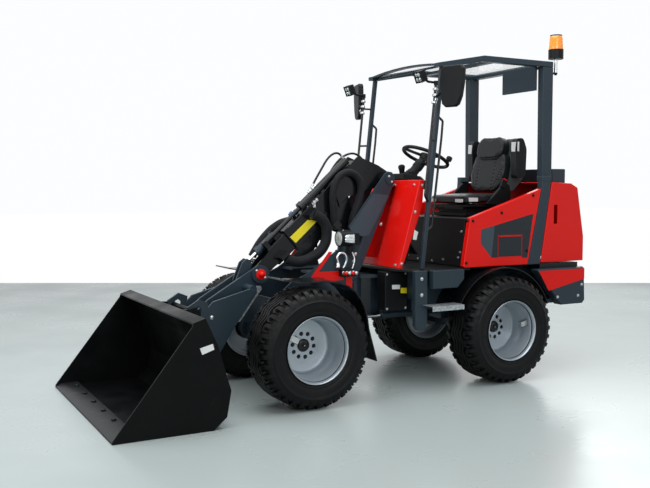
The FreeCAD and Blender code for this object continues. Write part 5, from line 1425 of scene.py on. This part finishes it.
class LOADER_OT_lamps(bpy.types.Operator):
    """Fit the headlamps' and work lamps' lenses, the mirrors' glass and the amber beacon"""

    bl_idname = "loader.lamps"
    bl_label = "Lamps and mirrors"

    def execute(self, context):
        bowls, glass, bezel = bmesh.new(), bmesh.new(), bmesh.new()
        for side in (1, -1):
            lamp = mm(150, side * 262, 1017)
            turned(bowls, lamp, (1, 0, 0),
                   [(0.0002, 0.047), (0.004, 0.046), (0.007, 0.036), (0.009, 0.020),
                    (0.010, 0.002)], 36)
            turned(glass, lamp, (1, 0, 0),
                   [(0.009, 0.0475), (0.013, 0.043), (0.016, 0.028), (0.017, 0.002)], 36)
            ring = [[lamp + Vector((x, r * math.cos(a), r * math.sin(a))) for x, r in
                     ((-0.012, 0.0525), (-0.012, 0.055), (0.010, 0.055), (0.013, 0.051),
                      (0.010, 0.047), (0.002, 0.0478))]
                    for a in (2 * math.pi * k / 48 for k in range(48))]
            loft(bezel, ring + [ring[0]], caps=False)
            rows = []
            for x, low, high, out in ((66, 988, 1046, 0), (70, 984, 1050, 12),
                                      (108, 986, 1048, 18), (142, 994, 1040, 12),
                                      (146, 998, 1036, 0)):
                rows.append([mm(x, side * (302 + reach), z) for reach, z in (
                    (0, low), (out, low + 5), (out + 3, 1017), (out, high - 5), (0, high))])
            loft(bowls, rows)
        bmesh.ops.remove_doubles(bezel, verts=bezel.verts, dist=1e-5)
        piece("headlamp_reflectors", bowls, coat(lamp_reflector), "front_chassis",
              smooth=60)
        piece("headlamp_lenses", glass, coat(clear_lens), "front_chassis",
              smooth=60)
        piece("headlamp_bezels", bezel, coat(moulded_plastic), "front_chassis",
              smooth=40)

        tilt = Matrix.Rotation(math.radians(22), 3, "Y")
        faces, hoods = bmesh.new(), bmesh.new()
        for side in (1, -1):
            centre = mm(-345, side * 463, 2084)
            for row in (-1, 1):
                for column in (-1, 1):
                    turned(faces, centre + tilt @ mm(22.2, column * 16, row * 16),
                           tilt @ Vector((1, 0, 0)),
                           [(0, 0.0135), (0.0012, 0.013), (0.0016, 0.008), (0.003, 0.005),
                            (0.0042, 0.001)], 24)
            frame_ring = ((-38, -38, 38, -33), (-38, 33, 38, 38), (-38, -33, -33, 33),
                          (33, -33, 38, 33))
            for y0, z0, y1, z1 in frame_ring:
                block(hoods, centre + mm(21, y0, z0), centre + mm(26, y1, z1), tilt, centre)
            for k in range(6):
                z = -30 + 11 * k
                block(hoods, centre + mm(-30, -34, z), centre + mm(-21, 34, z + 4), tilt,
                      centre)
        piece("work_lamp_lights", faces, coat(lamp_reflector), "chassis",
              smooth=50)
        piece("work_lamp_frames", hoods, coat(moulded_plastic), "chassis",
              bevel=0.001, segments=1)

        glasses, clamps = bmesh.new(), bmesh.new()
        outline = [(-80, 112), (-66, 127), (66, 127), (84, 106), (80, 22), (64, -66),
                   (42, -114), (22, -126), (-46, -126), (-68, -106), (-84, -18), (-84, 76)]
        for side in (1, -1):
            turn = Matrix.Rotation(math.radians(18 * side), 3, "Z")
            centre = mm(-503, side * 603, 2015)
            rings = [[centre + turn @ mm(x, side * y * shrink, z * shrink)
                      for y, z in outline] for x, shrink in ((-19, 1), (-20.6, 0.985))]
            loft(glasses, rings)
            pole = [mm(-450, side * 463, 1870), mm(-467, side * 463, 2030)]
            along = (pole[1] - pole[0]).normalized()
            for share in (0.25, 0.55, 0.8):
                turned(clamps, pole[0].lerp(pole[1], share), along,
                       [(0, 0.0165), (0.002, 0.018), (0.014, 0.018), (0.016, 0.0165)], 20)
            turned(clamps, mm(-455, side * 480, 1936), (0, side, 0),
                   [(0, 0.009), (0.004, 0.012), (0.010, 0.012), (0.014, 0.006)], 16)
        piece("mirror_faces", glasses, coat(mirror_glass), "chassis")
        piece("mirror_clamps", clamps, coat(zinc_plating), "chassis", smooth=40)

        lens, count = bmesh.new(), 72
        rings = []
        for z, radius in ((2353, 51.5), (2360, 52.5), (2376, 51), (2420, 47.8), (2440, 46.2),
                          (2450, 43), (2456, 36), (2457.5, 20)):
            rings.append([mm(-1560 + (radius + 0.7 * (k % 2)) * math.cos(2 * math.pi * k / count),
                             428 + (radius + 0.7 * (k % 2)) * math.sin(2 * math.pi * k / count),
                             z) for k in range(count)])
        loft(lens, rings)
        # the beacon's lens carries a painted glow from its weak orange emission
        piece("beacon_lens", lens, coat(amber_lens_painted_glow), "chassis", smooth=60)
        stalk = bmesh.new()
        turned(stalk, mm(-1560, 428, 2186), (0, 0, 1),
               [(0, 0.0095), (0.001, 0.0125), (0.094, 0.0125), (0.096, 0.017), (0.1, 0.017)], 24)
        piece("beacon_stalk", stalk, coat(zinc_plating), "chassis", smooth=40)
        return {"FINISHED"}


# ---------------------------------------------------------------- boom and front frame fittings

class LOADER_OT_fittings(bpy.types.Operator):
    """Fit the boom's hose fittings, the tool pin's caps, the couplers and the tow shackle"""

    bl_idname = "loader.fittings"
    bl_label = "Hose fittings"

    def execute(self, context):
        nuts, blue = bmesh.new(), bmesh.new()
        down = mm(766, 0, -643).normalized()
        for x, y, z, turn in ((250, 46, 1340, 0), (214, 20, 1352, 1), (172, 0, 1368, 0),
                              (128, -8, 1400, 1), (232, 70, 1262, 1), (272, 46, 1258, 0)):
            start = mm(x, y, z)
            turned(nuts, start, down,
                   [(-0.020, 0.008), (-0.018, 0.013), (-0.006, 0.013), (-0.004, 0.0095),
                    (0.006, 0.0095), (0.008, 0.014), (0.020, 0.014), (0.022, 0.009),
                    (0.034, 0.009)], 6 if turn else 20)
            turned(nuts, start + down * 0.012, (0, 0, -1),
                   [(0, 0.010), (0.020, 0.010), (0.022, 0.0125), (0.034, 0.0125)], 6)
        piece("boom_fittings", nuts, coat(zinc_plating), "boom", smooth=35)
        for x, y, z in ((347, 20, 1196), (362, -10, 1182)):
            turned(blue, mm(x, y, z), down,
                   [(0, 0.016), (0.002, 0.0205), (0.018, 0.0205), (0.020, 0.017),
                    (0.030, 0.017)], 8)
        piece("ram_gland", blue, coat(blue_anodising), "boom", smooth=30)

        caps, levers = bmesh.new(), bmesh.new()
        for side in (1, -1):
            turned(caps, mm(646, side * 93, 790), (0, side, 0),
                   [(-0.002, 0.034), (0.004, 0.034), (0.006, 0.017), (0.026, 0.016),
                    (0.031, 0.011), (0.032, 0.002)], 28)
            hex_bolt(levers, mm(676, side * 93, 814), (0, side, 0), 0.013)
            hex_bolt(levers, mm(616, side * 93, 766), (0, side, 0), 0.013)
        piece("tool_pin_caps", caps, coat(red_powder_coat), "head", smooth=45)
        piece("tool_pin_bolts", levers, coat(zinc_plating), "head", smooth=40)

        couplers, handles, dust = bmesh.new(), bmesh.new(), bmesh.new()
        for k, x in enumerate((62, 88, 114, 140)):
            turned(couplers, mm(x, 290, 790), (0, 1, 0),
                   [(0, 0.011), (0.006, 0.0125), (0.008, 0.010), (0.016, 0.010),
                    (0.018, 0.0122), (0.030, 0.0122)], 24)
            turned(dust if k % 2 else couplers, mm(x, 319, 790), (0, 1, 0),
                   [(0, 0.0118), (0.012, 0.0118), (0.015, 0.009), (0.016, 0.002)], 24)
        line = smooth_line([mm(126, 262, 822), mm(106, 268, 852), mm(104, 270, 892),
                            mm(128, 270, 926), mm(162, 268, 920), mm(178, 266, 888),
                            mm(168, 266, 858)])
        sweep(handles, line, 0.0085, 12)
        turned(handles, mm(168, 266, 858), (0, 0, -1), [(0, 0.009), (0.004, 0.014),
                                                       (0.03, 0.014), (0.034, 0.008)], 6)
        line = smooth_line([mm(60, 268, 815), mm(40, 270, 860), mm(46, 262, 910),
                            mm(70, 250, 950)])
        sweep(couplers, line, 0.006, 10)
        piece("coupler_block_fittings", couplers, coat(zinc_plating), "front_chassis",
              smooth=45)
        piece("coupler_dust_caps", dust, coat(red_powder_coat), "front_chassis",
              smooth=45)
        piece("tow_shackle", handles, coat(hard_chrome), "front_chassis",
              smooth=50)
        return {"FINISHED"}


class LOADER_OT_tail(bpy.types.Operator):
    """Fit the louvres and the tail lamps on the hood's back"""

    bl_idname = "loader.tail"
    bl_label = "Hood louvres and tail lamps"

    def execute(self, context):
        lean = Matrix.Rotation(math.atan2(66, 360), 3, "Y")
        foot = mm(-1796, 0, 992)
        grille = bmesh.new()
        block(grille, foot + mm(-1, -290, 60), foot + mm(1.5, 290, 300), lean, foot)
        for k in range(11):
            low = 68 + 21 * k
            for part in (-1, 0, 1):
                middle = 190 * part
                start = foot + mm(-2, middle - 88, low)
                block(grille, start, start + mm(3, 176, 9), lean, foot)
        piece("hood_louvres", grille, coat(moulded_plastic), "hood",
              bevel=0.0006, segments=1)
        red, amber, cases = bmesh.new(), bmesh.new(), bmesh.new()
        for side in (1, -1):
            for mesh, inner, outer in ((cases, 372, 478), (red, 378, 438), (amber, 441, 472)):
                near, far = sorted((side * inner, side * outer))
                deep, ends = (-1799, 0) if mesh is cases else (-1800, 6)
                block(mesh, mm(deep, near, 846 + ends), mm(-1794, far, 934 - ends))
        piece("tail_lamp_cases", cases, coat(moulded_plastic), "hood",
              bevel=0.0015, segments=2)
        piece("tail_lamp_red", red, coat(red_lens), "hood", bevel=0.001,
              segments=2)
        # the amber lens carries a painted glow from its weak orange emission
        piece("tail_lamp_amber", amber, coat(amber_lens_painted_glow), "hood", bevel=0.001,
              segments=2)
        return {"FINISHED"}


# ---------------------------------------------------------------- add-on

SETTINGS = {"loader_stage": StageSettings, "loader_wheels": WheelSettings,
            "loader_hoses": HoseSettings, "loader_seat": SeatSettings}
STEPS = (LOADER_OT_stage, LOADER_OT_paint, LOADER_OT_tyres, LOADER_OT_rims, LOADER_OT_hoses,
         LOADER_OT_seat, LOADER_OT_controls, LOADER_OT_films, LOADER_OT_bolts, LOADER_OT_lamps,
         LOADER_OT_fittings, LOADER_OT_tail)


class LOADER_PT_panel(bpy.types.Panel):
    """Lists the machine's groups of pieces and their sizes"""

    bl_label = "Mini wheel loader"
    bl_idname = "LOADER_PT_panel"
    bl_space_type = "VIEW_3D"
    bl_region_type = "UI"
    bl_category = "Loader"

    def draw(self, context):
        layout = self.layout
        for attribute in SETTINGS:
            settings = getattr(context.scene, attribute)
            column = layout.column(align=True)
            for name in settings.__annotations__:
                column.prop(settings, name)
        for step in STEPS:
            layout.operator(step.bl_idname)


CLASSES = (*SETTINGS.values(), *STEPS, LOADER_PT_panel)


def register():
    """Register the classes and hang the settings on the scene."""
    for item in CLASSES:
        bpy.utils.register_class(item)
    for attribute, item in SETTINGS.items():
        setattr(bpy.types.Scene, attribute, PointerProperty(type=item))


def unregister():
    """Take the settings and the classes away again."""
    for attribute in SETTINGS:
        delattr(bpy.types.Scene, attribute)
    for item in reversed(CLASSES):
        bpy.utils.unregister_class(item)


def main():
    """Build every piece in order."""
    register()
    for step in STEPS:
        group, name = step.bl_idname.split(".")
        getattr(getattr(bpy.ops, group), name)()


if __name__ == "__main__":
    main()
